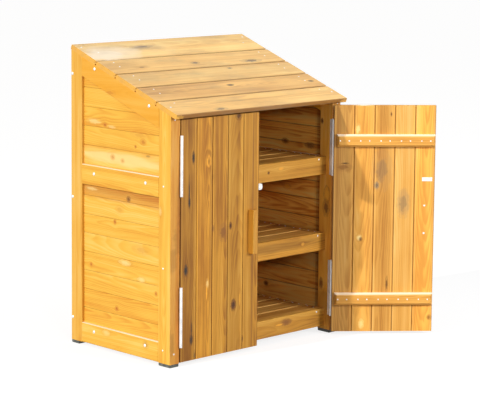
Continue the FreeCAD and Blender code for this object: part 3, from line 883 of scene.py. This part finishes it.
# posts: by height, and back from their front faces
POST_MARKS = {
    "rear_left": (Mark(0.550, 0.030, WHOLE, 0.300, Tint.ORANGE, 0.4),),
    "front_left": (
        knot(0.570, 0.055, 0.018, 0.008, Tone.PALE, 0.3),
        Mark(0.460, 0.0, WHOLE, 0.002, Tint.ORANGE, 1.0),
        # painted shade: darker patches along the front face's edges
        Mark(0.470, 0.0, 0.065, 0.003, Tint.DIM, 0.55, depth=0.040, inset=0.046),
        Mark(0.400, 0.0, 0.060, 0.003, Tint.DIM, 0.45, depth=0.034, inset=0.006),
        Mark(0.620, 0.0, 0.130, 0.003, Tint.DIM, 0.7, depth=0.020, inset=0.046),
        Mark(0.250, 0.0, 0.110, 0.003, Tint.DIM, 0.5, depth=0.022, inset=0.046),
        Mark(0.090, 0.0, 0.060, 0.003, Tint.DIM, 0.5, depth=0.020, inset=0.004),
    ),
    "front_right": (
        Mark(0.460, 0.030, WHOLE, 0.200, Tint.RUDDY, 1.0, depth=0.003),
        Mark(0.110, 0.020, 0.090, 0.200, Tint.DIM, 0.7, depth=0.003),
        Mark(0.460, 0.0, WHOLE, 0.002, Tint.ORANGE, 1.0),
        # painted sunlit patch
        Mark(0.548, 0.024, 0.030, 0.014, Tone.GLOW, 1.0, soft=0.3),
        Mark(0.496, 0.027, 0.030, 0.016, Tone.SHADE, 0.7),
        knot(0.192, 0.048, 0.022, 0.010, Tone.KNOT, 0.6),
        knot(0.835, 0.054, 0.010, 0.006, Tone.KNOT, 0.8),
    ),
}

# roof boards: from the left end, and up the slope
ROOF_MARKS = (
    Mark(0.450, 0.602, WHOLE, 0.036, Tint.DIM, 0.15),
    Mark(0.500, 0.510, WHOLE, 0.044, Tint.BRIGHT, 0.25),
    Mark(0.302, 0.568, 0.050, 0.010, Tone.GREY, 0.9),
    Mark(0.290, 0.560, 0.090, 0.020, Tone.GREY, 0.3),
    Mark(0.110, 0.530, 0.280, 0.100, Tone.BLEACHED, 0.4, soft=1.0),
    Mark(0.080, 0.520, 0.150, 0.070, Tone.BLEACHED, 0.5, soft=1.0),
    Mark(0.435, 0.398, 0.020, 0.009, Tone.GREY, 0.9),
    Mark(0.721, 0.381, 0.050, 0.014, Tone.GREY, 0.7),
    Mark(0.558, 0.331, 0.012, 0.006, Tone.GREY, 0.9),
    knot(0.437, 0.193, 0.016, 0.007, Tone.BLUE_KNOT, 0.7),
    knot(0.851, 0.167, 0.014, 0.007, Tone.BLUE_KNOT, 0.6),
    Mark(0.230, 0.016, 0.030, 0.012, Tone.GREY, 0.6),
    Mark(0.060, 0.310, 0.200, 0.060, Tint.DIM, 0.3),
    Mark(0.060, 0.420, 0.160, 0.050, Tint.DIM, 0.25),
    Mark(0.060, 0.190, 0.160, 0.050, Tint.DIM, 0.25),
    Mark(0.450, 0.0, WHOLE, 0.003, Tone.EAVES, 0.9),
    # painted shade on the lower part of the front edge
    Mark(0.450, 0.0, WHOLE, 0.006, Tint.DIM, 0.9, depth=0.006, inset=0.018),
    Mark(0.600, 0.300, 0.700, 0.070, Tint.DIM, 0.22),
)

# shelf aprons: from the middle, and by height
APRON_MARKS = {
    "upper": (
        Mark(0.200, 0.670, WHOLE, 0.200, Tint.DIM, 0.28),
        knot(0.148, 0.673, 0.016, 0.007, Tone.GLOW, 0.35),
        knot(0.081, 0.663, 0.006, 0.005, Tone.KNOT),
    ),
    "middle": (
        Mark(0.200, 0.370, WHOLE, 0.200, Tint.DIM, 0.28),
        Mark(0.210, 0.338, 0.340, 0.014, Tint.BRIGHT, 0.5),
        knot(0.273, 0.366, 0.010, 0.007, Tone.GLOW, 0.8),
        Mark(0.140, 0.370, 0.300, 0.020, Tint.DIM, 0.7),
    ),
    "lower": (
        Mark(0.200, 0.070, WHOLE, 0.200, Tint.DIM, 0.22),
        knot(0.186, 0.071, 0.028, 0.012, Tone.SHADE, 0.8),
        Mark(0.150, 0.066, 0.026, 0.005, Tone.GLOW, 0.6),
    ),
}

# doors: by height, and from the hinge edge
LEFT_DOOR_MARKS = (
    Mark(0.460, 0.036, WHOLE, 0.050, Tint.DIM, 0.5),
    knot(0.762, 0.062, 0.022, 0.006, Tone.BLUE_KNOT),
    Mark(0.634, 0.042, 0.060, 0.003, Tone.BLUE_KNOT),
    knot(0.600, 0.043, 0.020, 0.005, Tone.BLUE_KNOT),
    knot(0.352, 0.027, 0.020, 0.009, Tone.BLUE_KNOT),
    knot(0.090, 0.056, 0.018, 0.007, Tone.BLUE_KNOT),
    Mark(0.130, 0.057, 0.045, 0.003, Tone.BLUE_KNOT, 0.7),
    Mark(0.029, 0.073, 0.020, 0.004, Tone.BLUE_KNOT),
    knot(0.741, 0.139, 0.024, 0.010, Tone.GLOW, 0.5),
    knot(0.741, 0.139, 0.014, 0.005, Tone.KNOT, 0.45),
    # painted highlights beside the first two joints, where the grooves' edges catch the light
    Mark(0.460, 0.083, 0.800, 0.004, Tone.GLOW, 0.45),
    Mark(0.460, 0.163, 0.800, 0.003, Tone.GLOW, 0.5),
    Mark(0.288, 0.135, 0.020, 0.008, Tone.PALE, 0.4),
    Mark(0.257, 0.132, 0.036, 0.005, Tone.GLOW, 0.5),
    Mark(0.472, 0.215, 0.030, 0.020, Tone.SHADE, 0.7),
    knot(0.491, 0.161, 0.012, 0.006, Tone.SHADE, 0.7),
    knot(0.491, 0.251, 0.013, 0.007, Tone.KNOT),
    knot(0.190, 0.269, 0.020, 0.012, Tone.KNOT, 0.9),
    Mark(0.209, 0.302, 0.034, 0.005, Tone.GLOW, 0.8),
    Mark(0.898, 0.289, 0.014, 0.015, Tone.KNOT, 0.7),
    knot(0.053, 0.318, 0.012, 0.004, Tone.KNOT, 0.7),
    Mark(0.460, 0.366, 0.800, 0.004, Tone.SHADE, 0.5),
    Mark(0.460, 0.272, WHOLE, 0.040, Tint.DIM, 0.45),
    Mark(0.460, 0.356, WHOLE, 0.040, Tint.DIM, 0.3),
    Mark(0.460, 0.118, WHOLE, 0.040, Tint.BRIGHT, 0.75),
)
RIGHT_DOOR_MARKS = (
    # painted shade over the first board, beside the hinge
    Mark(0.460, 0.034, WHOLE, 0.044, Tint.DUSK, 0.55),
    # painted highlight on the top end of the second board
    Mark(0.905, 0.118, 0.003, 0.034, Tone.BLEACHED, 0.9),
    Mark(0.678, 0.045, 0.003, 0.013, Tone.BLUE_KNOT),
    Mark(0.663, 0.038, 0.014, 0.030, Tone.SHADE, 0.5),
    Mark(0.386, 0.104, 0.014, 0.012, Tone.PALE, 0.7),
    knot(0.380, 0.110, 0.008, 0.006, Tone.KNOT, 0.6),
    Mark(0.812, 0.093, 0.024, 0.012, Tone.PALE, 0.4),
    knot(0.043, 0.117, 0.022, 0.012, Tone.PALE, 0.4),
    knot(0.592, 0.168, 0.013, 0.009, Tone.GREY, 0.9),
    Mark(0.653, 0.188, 0.070, 0.034, Tone.GREY, 0.3),
    Mark(0.202, 0.215, 0.028, 0.005, Tone.KNOT, 0.6),
    Mark(0.870, 0.221, 0.008, 0.003, Tone.KNOT, 0.8),
    Mark(0.523, 0.274, 0.050, 0.022, Tone.GREY, 0.4, soft=0.3),
    knot(0.069, 0.384, 0.010, 0.008, Tone.KNOT, 0.5),
    Mark(0.460, 0.198, WHOLE, 0.038, Tint.DIM, 0.45),
    Mark(0.460, 0.356, WHOLE, 0.040, Tint.BRIGHT, 1.0),
    Mark(0.460, 0.276, WHOLE, 0.040, Tint.DIM, 0.25),
    Mark(0.460, 0.118, WHOLE, 0.040, Tint.BRIGHT, 0.25),
    Mark(0.460, 0.200, WHOLE, WHOLE, Tint.BROWNED, 1.0, depth=0.008),
)


class Side(Enum):
    """Left and right, each with its way out from the middle."""

    LEFT = -1.0
    RIGHT = 1.0

    @property
    def label(self) -> str:
        """The side's name, as the nodes have it."""
        return self.name.lower()


CORNERS = ("front_left", "front_right", "rear_left", "rear_right")


@dataclass
class Frame:
    """Posts, side rails and side boards."""

    half_width: float = 0.445  # outer faces, from the middle
    opening: float = 0.399  # posts' inner faces, from the middle
    front: float = -0.280  # place of the front faces
    rear_post: float = 0.217  # place of the rear posts' front faces
    board_pitch: float = 0.072  # cover of the side boards
    board_face: float = 0.434  # boards' outer faces, from the middle
    left_base: float = 0.003  # height of a joint line under the left boards
    right_base: float = -0.058  # height of a joint line under the right boards
    upper_from: float = 0.658  # height from which the left upper panel's joints move on
    upper_step: float = 0.047  # how far they move on
    post_seed: int = 1
    rail_seed: int = 5
    board_seed: int = 21

    def dress(self) -> None:
        """Stains every piece of the frame."""
        for dress in (self.dress_posts, self.dress_rails, self.dress_boards):
            dress()

    def dress_posts(self) -> None:
        """Stains the four posts."""
        for seed, place in enumerate(CORNERS, self.post_seed):
            edge = -self.half_width if place.endswith("left") else self.opening
            depth = self.front if place.startswith("front") else self.rear_post
            node = f"{place}_post"
            axes = corner_axes(node, (edge, depth, 0.0), ALONG_Z, ALONG_Y)
            RAIL.dress(node, axes, seed, POST_MARKS.get(place, ()))

    def dress_rails(self) -> None:
        """Stains the six side rails."""
        rails = [(side, place) for side in Side for place in ("top", "mid", "bottom")]
        for seed, (side, place) in enumerate(rails, self.rail_seed):
            node = f"{side.label}_{place}_rail"
            corner = (side.value * self.half_width, self.front, 0.0)
            marks = RUBBED_RAILS.get(place, ())
            if side is Side.LEFT:
                marks += LEFT_RAIL_MARKS.get(place, ())
            finish = TOP_RAIL if place == "top" else RAIL
            finish.dress(node, corner_axes(node, corner, ALONG_Y, ALONG_Z), seed, marks)

    def dress_boards(self) -> None:
        """Stains the boards of both sides."""
        left = BoardAxes(
            (-self.board_face, self.front, self.left_base), ALONG_Y, ALONG_Z, self.board_pitch,
            self.upper_from - self.left_base, self.upper_step,
        )
        right = BoardAxes(
            (self.board_face, self.front, self.right_base), ALONG_Y, ALONG_Z, self.board_pitch
        )
        sides = (
            ("left_side_boards", HONEY, left, LEFT_SIDE_MARKS),
            ("right_side_boards", INNER_PAINTED_LIGHT, right, RIGHT_SIDE_MARKS),
        )
        for seed, (node, finish, axes, marks) in enumerate(sides, self.board_seed):
            moved = [replace(mark, across=mark.across - axes.origin[2]) for mark in marks]
            finish.dress(node, axes, seed, moved)


@dataclass
class Roof:
    """Boards across the slope, with the battens under them."""

    corner: Point = (-0.4455, -0.3125, 0.9273)  # left front corner of the top
    rise: float = 0.204  # rise of the slope over the depth
    depth: float = 0.560
    covers: tuple[float, ...] = (0.119, 0.119, 0.119, 0.119, 0.1495)  # from the front
    length: float = 0.891
    sawn_reach: float = 0.0015  # reach of the sawn colour round an end or edge
    flank_reach: float = 0.030  # its reach in the boards' joints, from an end
    flank_depth: float = 0.010  # its half depth there
    flank_inset: float = 0.014  # its place under the face there
    board_seed: int = 41
    batten_seed: int = 47

    @property
    def slope(self) -> Vector:
        """Way up the roof."""
        return Vector((0.0, self.depth, self.rise)).normalized()

    def end_marks(self, cover: float) -> list[Mark]:
        """Sawn wood at both ends of a board.

        Args:
            cover: the board's cover.

        Returns:
            The marks.
        """
        marks = []
        for end in (0.0, self.length):
            face = Mark(end, cover / 2, self.sawn_reach, 2 * cover, Tone.SAWN_END, 1.0)
            flank = {"length": self.flank_reach, "depth": self.flank_depth}
            marks += [face, replace(face, inset=self.flank_inset, **flank)]
        return marks

    def dress(self) -> None:
        """Stains each board on its own, then the battens."""
        start, last = 0.0, len(self.covers) - 1
        for index, cover in enumerate(self.covers):
            origin = Vector(self.corner) + self.slope * start
            axes = BoardAxes(tuple(origin), ALONG_X, tuple(self.slope), cover)
            marks = [
                replace(mark, across=mark.across - start)
                for mark in ROOF_MARKS if start <= mark.across < start + cover
            ]
            marks += self.end_marks(cover)
            if index == last:
                middle, reach = self.length / 2, self.sawn_reach
                marks.append(Mark(middle, cover, WHOLE, reach, Tone.SAWN_END, 1.0))
            ROOF.dress(f"roof_board_{index + 1}", axes, self.board_seed + index, marks)
            start += cover
        for seed, side in enumerate(Side, self.batten_seed):
            node = f"roof_{side.label}_batten"
            INNER_PAINTED_LIGHT.dress(node, lone_axes(node, ALONG_Y, ALONG_X), seed)


@dataclass
class Shelves:
    """Aprons, slats and cleats of the three shelves."""

    slat_pitch: float = 0.0806  # from one slat to the next
    slat_start: float = -0.231  # front edge of the first slat
    apron_front: float = -0.251  # place of the aprons' front faces
    seed: int = 51

    def dress(self) -> None:
        """Stains each shelf."""
        pieces = ("apron", "slats", "cleats")
        for index, place in enumerate(("lower", "middle", "upper")):
            seed = self.seed + index * len(pieces)
            apron, slats, cleats = (f"{place}_shelf_{piece}" for piece in pieces)
            face = corner_axes(apron, (0.0, self.apron_front, 0.0), ALONG_X, ALONG_Z)
            BROWN.dress(apron, face, seed, APRON_MARKS[place])
            top = (0.0, self.slat_start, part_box(slats)[1].z)
            SLAT.dress(slats, BoardAxes(top, ALONG_X, ALONG_Y, self.slat_pitch), seed + 1)
            INNER_PAINTED_LIGHT.dress(cleats, lone_axes(cleats, ALONG_Y, ALONG_X), seed + 2)


@dataclass
class BackWall:
    """Upright back boards and their rails."""

    board_pitch: float = 0.0798
    edge: float = Frame.opening  # outermost edges, from the middle
    # outer face toned back from the paler inside stain to the plain honey stain
    outer_face: Mark = Mark(0.0, 0.0, WHOLE, WHOLE, Tint.HONEYED, 1.0, depth=0.006)
    seed: int = 61

    def dress(self) -> None:
        """Stains the boards and rails."""
        low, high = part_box("back_boards")
        axes = BoardAxes((-self.edge, high.y, low.z), ALONG_Z, ALONG_X, self.board_pitch)
        INNER_PAINTED_LIGHT.dress("back_boards", axes, self.seed, (self.outer_face,))
        for seed, place in enumerate(("bottom", "mid", "top"), self.seed + 1):
            node = f"back_{place}_rail"
            HONEY.dress(node, lone_axes(node, ALONG_X, ALONG_Z), seed)


@dataclass
class Door:
    """One plank door."""

    side: Side
    finish: StainedWood  # stain of its boards
    marks: Sequence[Mark]  # by height and distance from the hinge edge
    seed: int
    count: int = 5  # number of boards
    hinge_edge: float = 0.3962  # from the middle, when shut
    free_edge: float = 0.001  # from the middle, when shut
    front: float = Frame.front  # place of its front face, when shut
    handle_at: float = 0.3442  # handle's nearer face, from the hinge edge
    lit_reach: float = 0.002  # depth of the painted light on that face

    @property
    def name(self) -> str:
        """The door's body."""
        return f"{self.side.label}_door"

    def axes(self) -> BoardAxes:
        """Boards from the hinge edge to the free edge, with the door standing as it does at rest.

        Returns:
            The axes.
        """
        joint = next(row for row in frame["joints"] if row["child"] == self.name)
        pivot, shut_at = Vector((*joint["pos_m"][:2], 0.0)), joint["range_deg"][0]
        turn = Matrix.Rotation(math.radians(-shut_at), 3, Vector(joint["axis"]))
        corner = Vector((self.side.value * self.hinge_edge, self.front, 0.0))
        origin = turn @ (corner - pivot) + pivot
        across = turn @ Vector((-self.side.value, 0.0, 0.0))
        pitch = (self.hinge_edge - self.free_edge) / self.count
        return BoardAxes(tuple(origin), ALONG_Z, tuple(across), pitch)

    def dress(self) -> None:
        """Stains the boards, ledges and handle."""
        axes, handle = self.axes(), f"{self.name}_handle"
        self.finish.dress(f"{self.name}_boards", axes, self.seed, self.marks)
        for seed, place in enumerate(("upper", "lower"), self.seed + 1):
            ledge = f"{self.name}_{place}_ledge"
            level = corner_axes(ledge, axes.origin, axes.across, ALONG_Z)
            GOLDEN.dress(ledge, level, seed, RUBBED_LEDGES[place])
        upright = corner_axes(handle, axes.origin, ALONG_Z, axes.across)
        # painted light on the handle's face that looks to the hinge
        painted_light_face = Mark(0.0, self.handle_at, WHOLE, self.lit_reach, Tint.AMBER, 1.0)
        AMBER.dress(handle, upright, self.seed + 3, (painted_light_face,))


@dataclass(frozen=True)
class ScrewHead:
    """Size of a round screw head."""

    radius: float
    height: float


@dataclass
class FrameScrews:
    """Round-headed screws with a cross recess, in place of the plain ones of the frame."""

    large: ScrewHead = ScrewHead(0.006, 0.003)  # heads that hold the rails
    small: ScrewHead = ScrewHead(0.0035, 0.0016)  # heads that hold the aprons, posts and roof
    sides: int = 14  # corners of a head's outline
    skirt: float = 0.4  # straight part, as a share of the height
    # steps of the dome, as shares of the radius inwards and of the height up
    dome_steps: tuple[Span, ...] = ((0.22, 0.34), (0.24, 0.18), (0.22, 0.08))
    smooth_angle: float = 40.0  # angle up to which faces are shaded smooth, in degrees
    recess_width: float = 0.22  # width of the cross, as a share of the radius
    recess_reach: float = 0.55  # length of each of its arms, as a share of the radius
    turn_seed: int = 7  # seed of the turns that the crosses are left at
    # place and height of the large heads on each side
    rail_rows: tuple[Spot, ...] = (
        (-0.162, 0.948), (0.143, 1.0591), (-0.144, 0.665), (0.146, 0.665), (-0.144, 0.062),
        (0.146, 0.062), (0.271, 0.100), (0.271, 0.565), (0.271, 1.033),
    )
    # place and height of the small heads on each side
    edge_rows: tuple[Spot, ...] = ((-0.241, 0.060), (-0.241, 0.363), (-0.241, 0.663))
    # distance from the middle and height on the aprons, then on the posts' front faces
    apron_rows: tuple[Spot, ...] = ((0.356, 0.086), (0.356, 0.389), (0.356, 0.689))
    post_rows: tuple[Spot, ...] = ((0.426, 0.9067), (0.426, 0.050))
    # distance from the middle and up the slope on the roof
    roof_rows: tuple[Spot, ...] = ((0.422, 0.0635), (0.422, 0.5955))

    def model_head(self, head: ScrewHead) -> bpy.types.Object:
        """Models one head, standing on the ground at the origin.

        Args:
            head: its size.

        Returns:
            The head.
        """
        skirt = head.height * self.skirt
        bpy.ops.object.select_all(action="DESELECT")
        bpy.ops.mesh.primitive_cylinder_add(
            vertices=self.sides, radius=head.radius, depth=skirt, location=(0.0, 0.0, skirt / 2)
        )
        bpy.ops.object.transform_apply(location=True, rotation=False, scale=False)
        dome = bpy.context.object
        bpy.context.tool_settings.mesh_select_mode = (False, False, True)
        top = max(dome.data.polygons, key=lambda face: face.normal.z)
        for face in dome.data.polygons:
            face.select = face.index == top.index
        bpy.ops.object.mode_set(mode="EDIT")
        for inwards, rise in self.dome_steps:
            bpy.ops.mesh.inset(thickness=head.radius * inwards)
            bpy.ops.transform.translate(value=(0.0, 0.0, head.height * rise))
        bpy.ops.object.mode_set(mode="OBJECT")
        self.cut_cross(dome, head)
        bpy.ops.object.shade_smooth_by_angle(angle=math.radians(self.smooth_angle))
        return dome

    def cut_cross(self, dome: bpy.types.Object, head: ScrewHead) -> None:
        """Cuts the cross recess into a head.

        Args:
            dome: the head.
            head: its size.
        """
        reach, width = 2 * head.radius * self.recess_reach, head.radius * self.recess_width
        for size in ((reach, width), (width, reach)):
            bpy.ops.object.select_all(action="DESELECT")
            bpy.ops.mesh.primitive_cube_add(size=1.0, location=(0.0, 0.0, head.height))
            cutter = bpy.context.object
            cutter.scale = (*size, head.height)
            bpy.ops.object.transform_apply(location=True, rotation=False, scale=True)
            bpy.context.view_layer.objects.active = dome
            cut = dome.modifiers.new("cross", "BOOLEAN")
            cut.operation, cut.object = "DIFFERENCE", cutter
            bpy.ops.object.modifier_apply(modifier=cut.name)
            bpy.data.objects.remove(cutter)
        dome.select_set(True)

    def places(self) -> list[tuple[ScrewHead, Vector, Vector]]:
        """Where every head sits.

        Returns:
            Each head's size, the point under it and the way that it faces.
        """
        roof, found = Roof(), []
        forwards, over = -Vector(ALONG_Y), Vector(ALONG_X).cross(roof.slope)
        for hand in (side.value for side in Side):
            face, outwards = hand * Frame.half_width, hand * Vector(ALONG_X)
            for head, rows in ((self.large, self.rail_rows), (self.small, self.edge_rows)):
                found += [(head, Vector((face, y, z)), outwards) for y, z in rows]
            fronts = ((Shelves.apron_front, self.apron_rows), (Frame.front, self.post_rows))
            for depth, rows in fronts:
                found += [(self.small, Vector((hand * x, depth, z)), forwards) for x, z in rows]
            for x, up in self.roof_rows:
                eaves = Vector((hand * x, *roof.corner[1:]))
                found.append((self.small, eaves + roof.slope * up, over))
        return found

    def build(self) -> None:
        """Models both sizes, sets a copy at each place and joins the copies."""
        models = {head: self.model_head(head) for head in (self.large, self.small)}
        turns, copies = Random(self.turn_seed), []
        for head, point, way in self.places():
            mesh = models[head].data.copy()
            spin = Matrix.Rotation(turns.uniform(0.0, math.pi / 2), 4, "Z")
            facing = way.to_track_quat("Z", "Y").to_matrix().to_4x4()
            mesh.transform(Matrix.Translation(point) @ facing @ spin)
            copies.append(bpy.data.objects.new("frame_screw_head", mesh))
            bpy.context.scene.collection.objects.link(copies[-1])
        for model in models.values():
            bpy.data.objects.remove(model)
        bpy.ops.object.select_all(action="DESELECT")
        for copy in copies:
            copy.select_set(True)
        bpy.context.view_layer.objects.active = copies[0]
        bpy.ops.object.join()
        heads = bpy.context.object
        heads.name = "frame_screw_heads"
        heads.data.materials.append(ZINC.material())
        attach(heads, "carcass")
        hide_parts("frame_screws")
        log.info("%s: %d heads", heads.name, len(copies))


@dataclass
class Hardware:
    """Hinges, nails, keepers, catches and feet."""

    fixings: tuple[str, ...] = ("hinge_post_screws", "roof_nails", "shelf_nails", "back_nails")
    door_metal: tuple[str, ...] = (
        "hinge_post_leaves", "hinge_door_leaves", "hinge_pins", "door_keeper",
    )  # metal nodes of each door, after the side's name

    def dress(self) -> None:
        """Plates the metal and finishes the plastic."""
        NAIL.dress(*self.fixings)
        for side in Side:
            ZINC.dress(*(f"{side.label}_{piece}" for piece in self.door_metal))
            NAIL.dress(f"{side.label}_door_fasteners")
        FOOT_PLASTIC.dress(*(f"{place}_foot" for place in CORNERS))
        CATCH_PLASTIC.dress("magnetic_catches")


@dataclass(frozen=True)
class SoftLamp:
    """A broad square lamp."""

    name: str
    place: Point
    aim: Point  # the point that it faces
    side: float  # its width
    power: float  # in watts

    def build(self) -> None:
        """Hangs the lamp."""
        data = bpy.data.lights.new(self.name, "AREA")
        data.energy, data.size = self.power, self.side
        lamp = bpy.data.objects.new(self.name, data)
        lamp.location = self.place
        way = Vector(self.aim) - Vector(self.place)
        lamp.rotation_euler = way.to_track_quat("-Z", "Y").to_euler()
        bpy.context.scene.collection.objects.link(lamp)


@dataclass
class Studio:
    """Pale floor, white surroundings and the lamps."""

    floor_side: float = 60.0
    floor_tone: Colour = (0.3, 0.3, 0.3)  # floor's grey as it throws light back
    veil_tone: Colour = (0.3, 0.3, 0.3)  # light that the floor shows, on top of its own paleness
    paleness: float = 0.8  # floor's own paleness to look at
    sun_way: Point = (1.0, -0.105, -0.42)  # direction that the main light travels
    sun_power: float = 2.72
    sun_width: float = 0.9  # angle that the main light fills, in degrees
    sun_colour: Colour = (1.0, 0.97, 0.93)
    sky: float = 0.28  # strength of the light from all round
    sky_colour: Colour = (0.97, 0.98, 1.0)
    backdrop: Colour = (1.0, 1.0, 1.0)  # surroundings to look at
    lamps: tuple[SoftLamp, ...] = (
        SoftLamp("front_fill", (1.4, -5.0, 2.2), (0.0, -0.2, 0.5), 1.6, 176.0),
        SoftLamp("side_fill", (-3.2, -5.0, 2.1), (0.2, -0.1, 0.5), 0.5, 42.0),
        SoftLamp("overhead", (0.0, -0.3, 5.5), (0.0, 0.0, 1.0), 5.0, 40.0),
    )

    def split(self, tree: Tree, lit: Socket, shown: Socket) -> Socket:
        """Keeps how a thing lights the scene apart from how it looks.

        Args:
            tree: the tree to add to.
            lit: shader for the rays that carry light.
            shown: shader for camera, glossy and transmission rays.

        Returns:
            The mixed shader.
        """
        rays = tree.add("LightPath")
        mirrored = tree.math("MAXIMUM", rays["Is Glossy Ray"], rays["Is Transmission Ray"])
        seen = tree.math("MAXIMUM", rays["Is Camera Ray"], mirrored)
        return tree.add("MixShader", (seen, lit, shown))[0]

    def build_world(self) -> None:
        """White to look at, softer as a light."""
        world = bpy.data.worlds.new("white_room")
        bpy.context.scene.world = world
        world.use_nodes = True
        world.node_tree.nodes.clear()
        tree = Tree(world.node_tree)
        shown = tree.add("Background", {"Color": self.backdrop})[0]
        lit = tree.add("Background", {"Color": self.sky_colour, "Strength": self.sky})[0]
        tree.add("OutputWorld", {"Surface": self.split(tree, lit, shown)})

    def build_floor(self) -> None:
        """Pale floor that keeps the shadow."""
        bpy.ops.object.select_all(action="DESELECT")
        bpy.ops.mesh.primitive_plane_add(size=self.floor_side, location=(0.0, 0.0, 0.0))
        floor = bpy.context.object
        floor.name = "floor"
        material = bpy.data.materials.new("pale_floor")
        material.use_nodes = True
        material.node_tree.nodes.clear()
        tree = Tree(material.node_tree)
        plain = tree.add("BsdfDiffuse", {"Color": self.floor_tone})[0]
        veil = tree.add("BsdfDiffuse", {"Color": self.veil_tone})[0]
        glow = tree.add("Emission", {"Strength": self.paleness})[0]
        lifted = tree.add("AddShader", (veil, glow))[0]
        tree.add("OutputMaterial", {"Surface": self.split(tree, plain, lifted)})
        floor.data.materials.append(material)

    def build_lamps(self) -> None:
        """Main light from the left, and the soft lamps."""
        sun = bpy.data.lights.new("main_light", "SUN")
        sun.energy = self.sun_power
        sun.angle = math.radians(self.sun_width)
        sun.color = self.sun_colour
        main_light = bpy.data.objects.new("main_light", sun)
        main_light.rotation_euler = Vector(self.sun_way).to_track_quat("-Z", "Y").to_euler()
        bpy.context.scene.collection.objects.link(main_light)
        for lamp in self.lamps:
            lamp.build()

    def build(self) -> None:
        """Sets up the whole studio."""
        self.build_world()
        self.build_floor()
        self.build_lamps()
        bpy.context.scene.view_settings.view_transform = "Standard"


@dataclass
class PhotoCamera:
    """Camera at the photograph's viewing angle, with its angles in degrees."""

    place: Point = (-4.999, -5.2894, 1.7239)
    yaw: float = 44.358  # turn to the right of +Y
    pitch: float = 7.457  # tilt down
    roll: float = 0.557  # turn about its own line of sight
    focal_pixels: float = 1913.1  # focal length in pixels of the image
    lowered_pixels: float = 60.0  # how far the image lies below the line of sight
    image_width: int = 480  # in pixels
    far: float = 100.0  # distance up to which it sees

    def turned(self) -> Matrix:
        """How the camera is turned.

        Returns:
            The rotation, with the line of sight along -Z.
        """
        yaw, pitch, roll = (math.radians(angle) for angle in (self.yaw, self.pitch, self.roll))
        flat = Vector((math.sin(yaw), math.cos(yaw), 0.0))
        ahead = flat * math.cos(pitch) - Vector(ALONG_Z) * math.sin(pitch)
        level = Vector((math.cos(yaw), -math.sin(yaw), 0.0))
        above = level.cross(ahead)
        right = level * math.cos(roll) + above * math.sin(roll)
        up = above * math.cos(roll) - level * math.sin(roll)
        return Matrix((right, up, -ahead)).transposed()

    def build(self) -> None:
        """Makes the camera and hands it to the scene."""
        data = bpy.data.cameras.new("photo_camera")
        data.lens = self.focal_pixels * data.sensor_width / self.image_width
        data.shift_y = -self.lowered_pixels / self.image_width
        data.clip_end = self.far
        camera = bpy.data.objects.new("photo_camera", data)
        camera.matrix_world = Matrix.Translation(self.place) @ self.turned().to_4x4()
        bpy.context.scene.collection.objects.link(camera)
        bpy.context.scene.camera = camera


def main() -> None:
    """Dresses every sub-assembly, then builds the screw heads, the studio and the camera."""
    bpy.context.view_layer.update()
    for assembly in (
        Frame(), Roof(), Shelves(), BackWall(),
        Door(Side.LEFT, BROWN, LEFT_DOOR_MARKS, seed=71),
        Door(Side.RIGHT, GOLDEN, RIGHT_DOOR_MARKS, seed=81),
        Hardware(),
    ):
        assembly.dress()
    for stage in (FrameScrews(), Studio(), PhotoCamera()):
        stage.build()


if __name__ == "__main__":
    logging.basicConfig(level=logging.INFO)
    main()
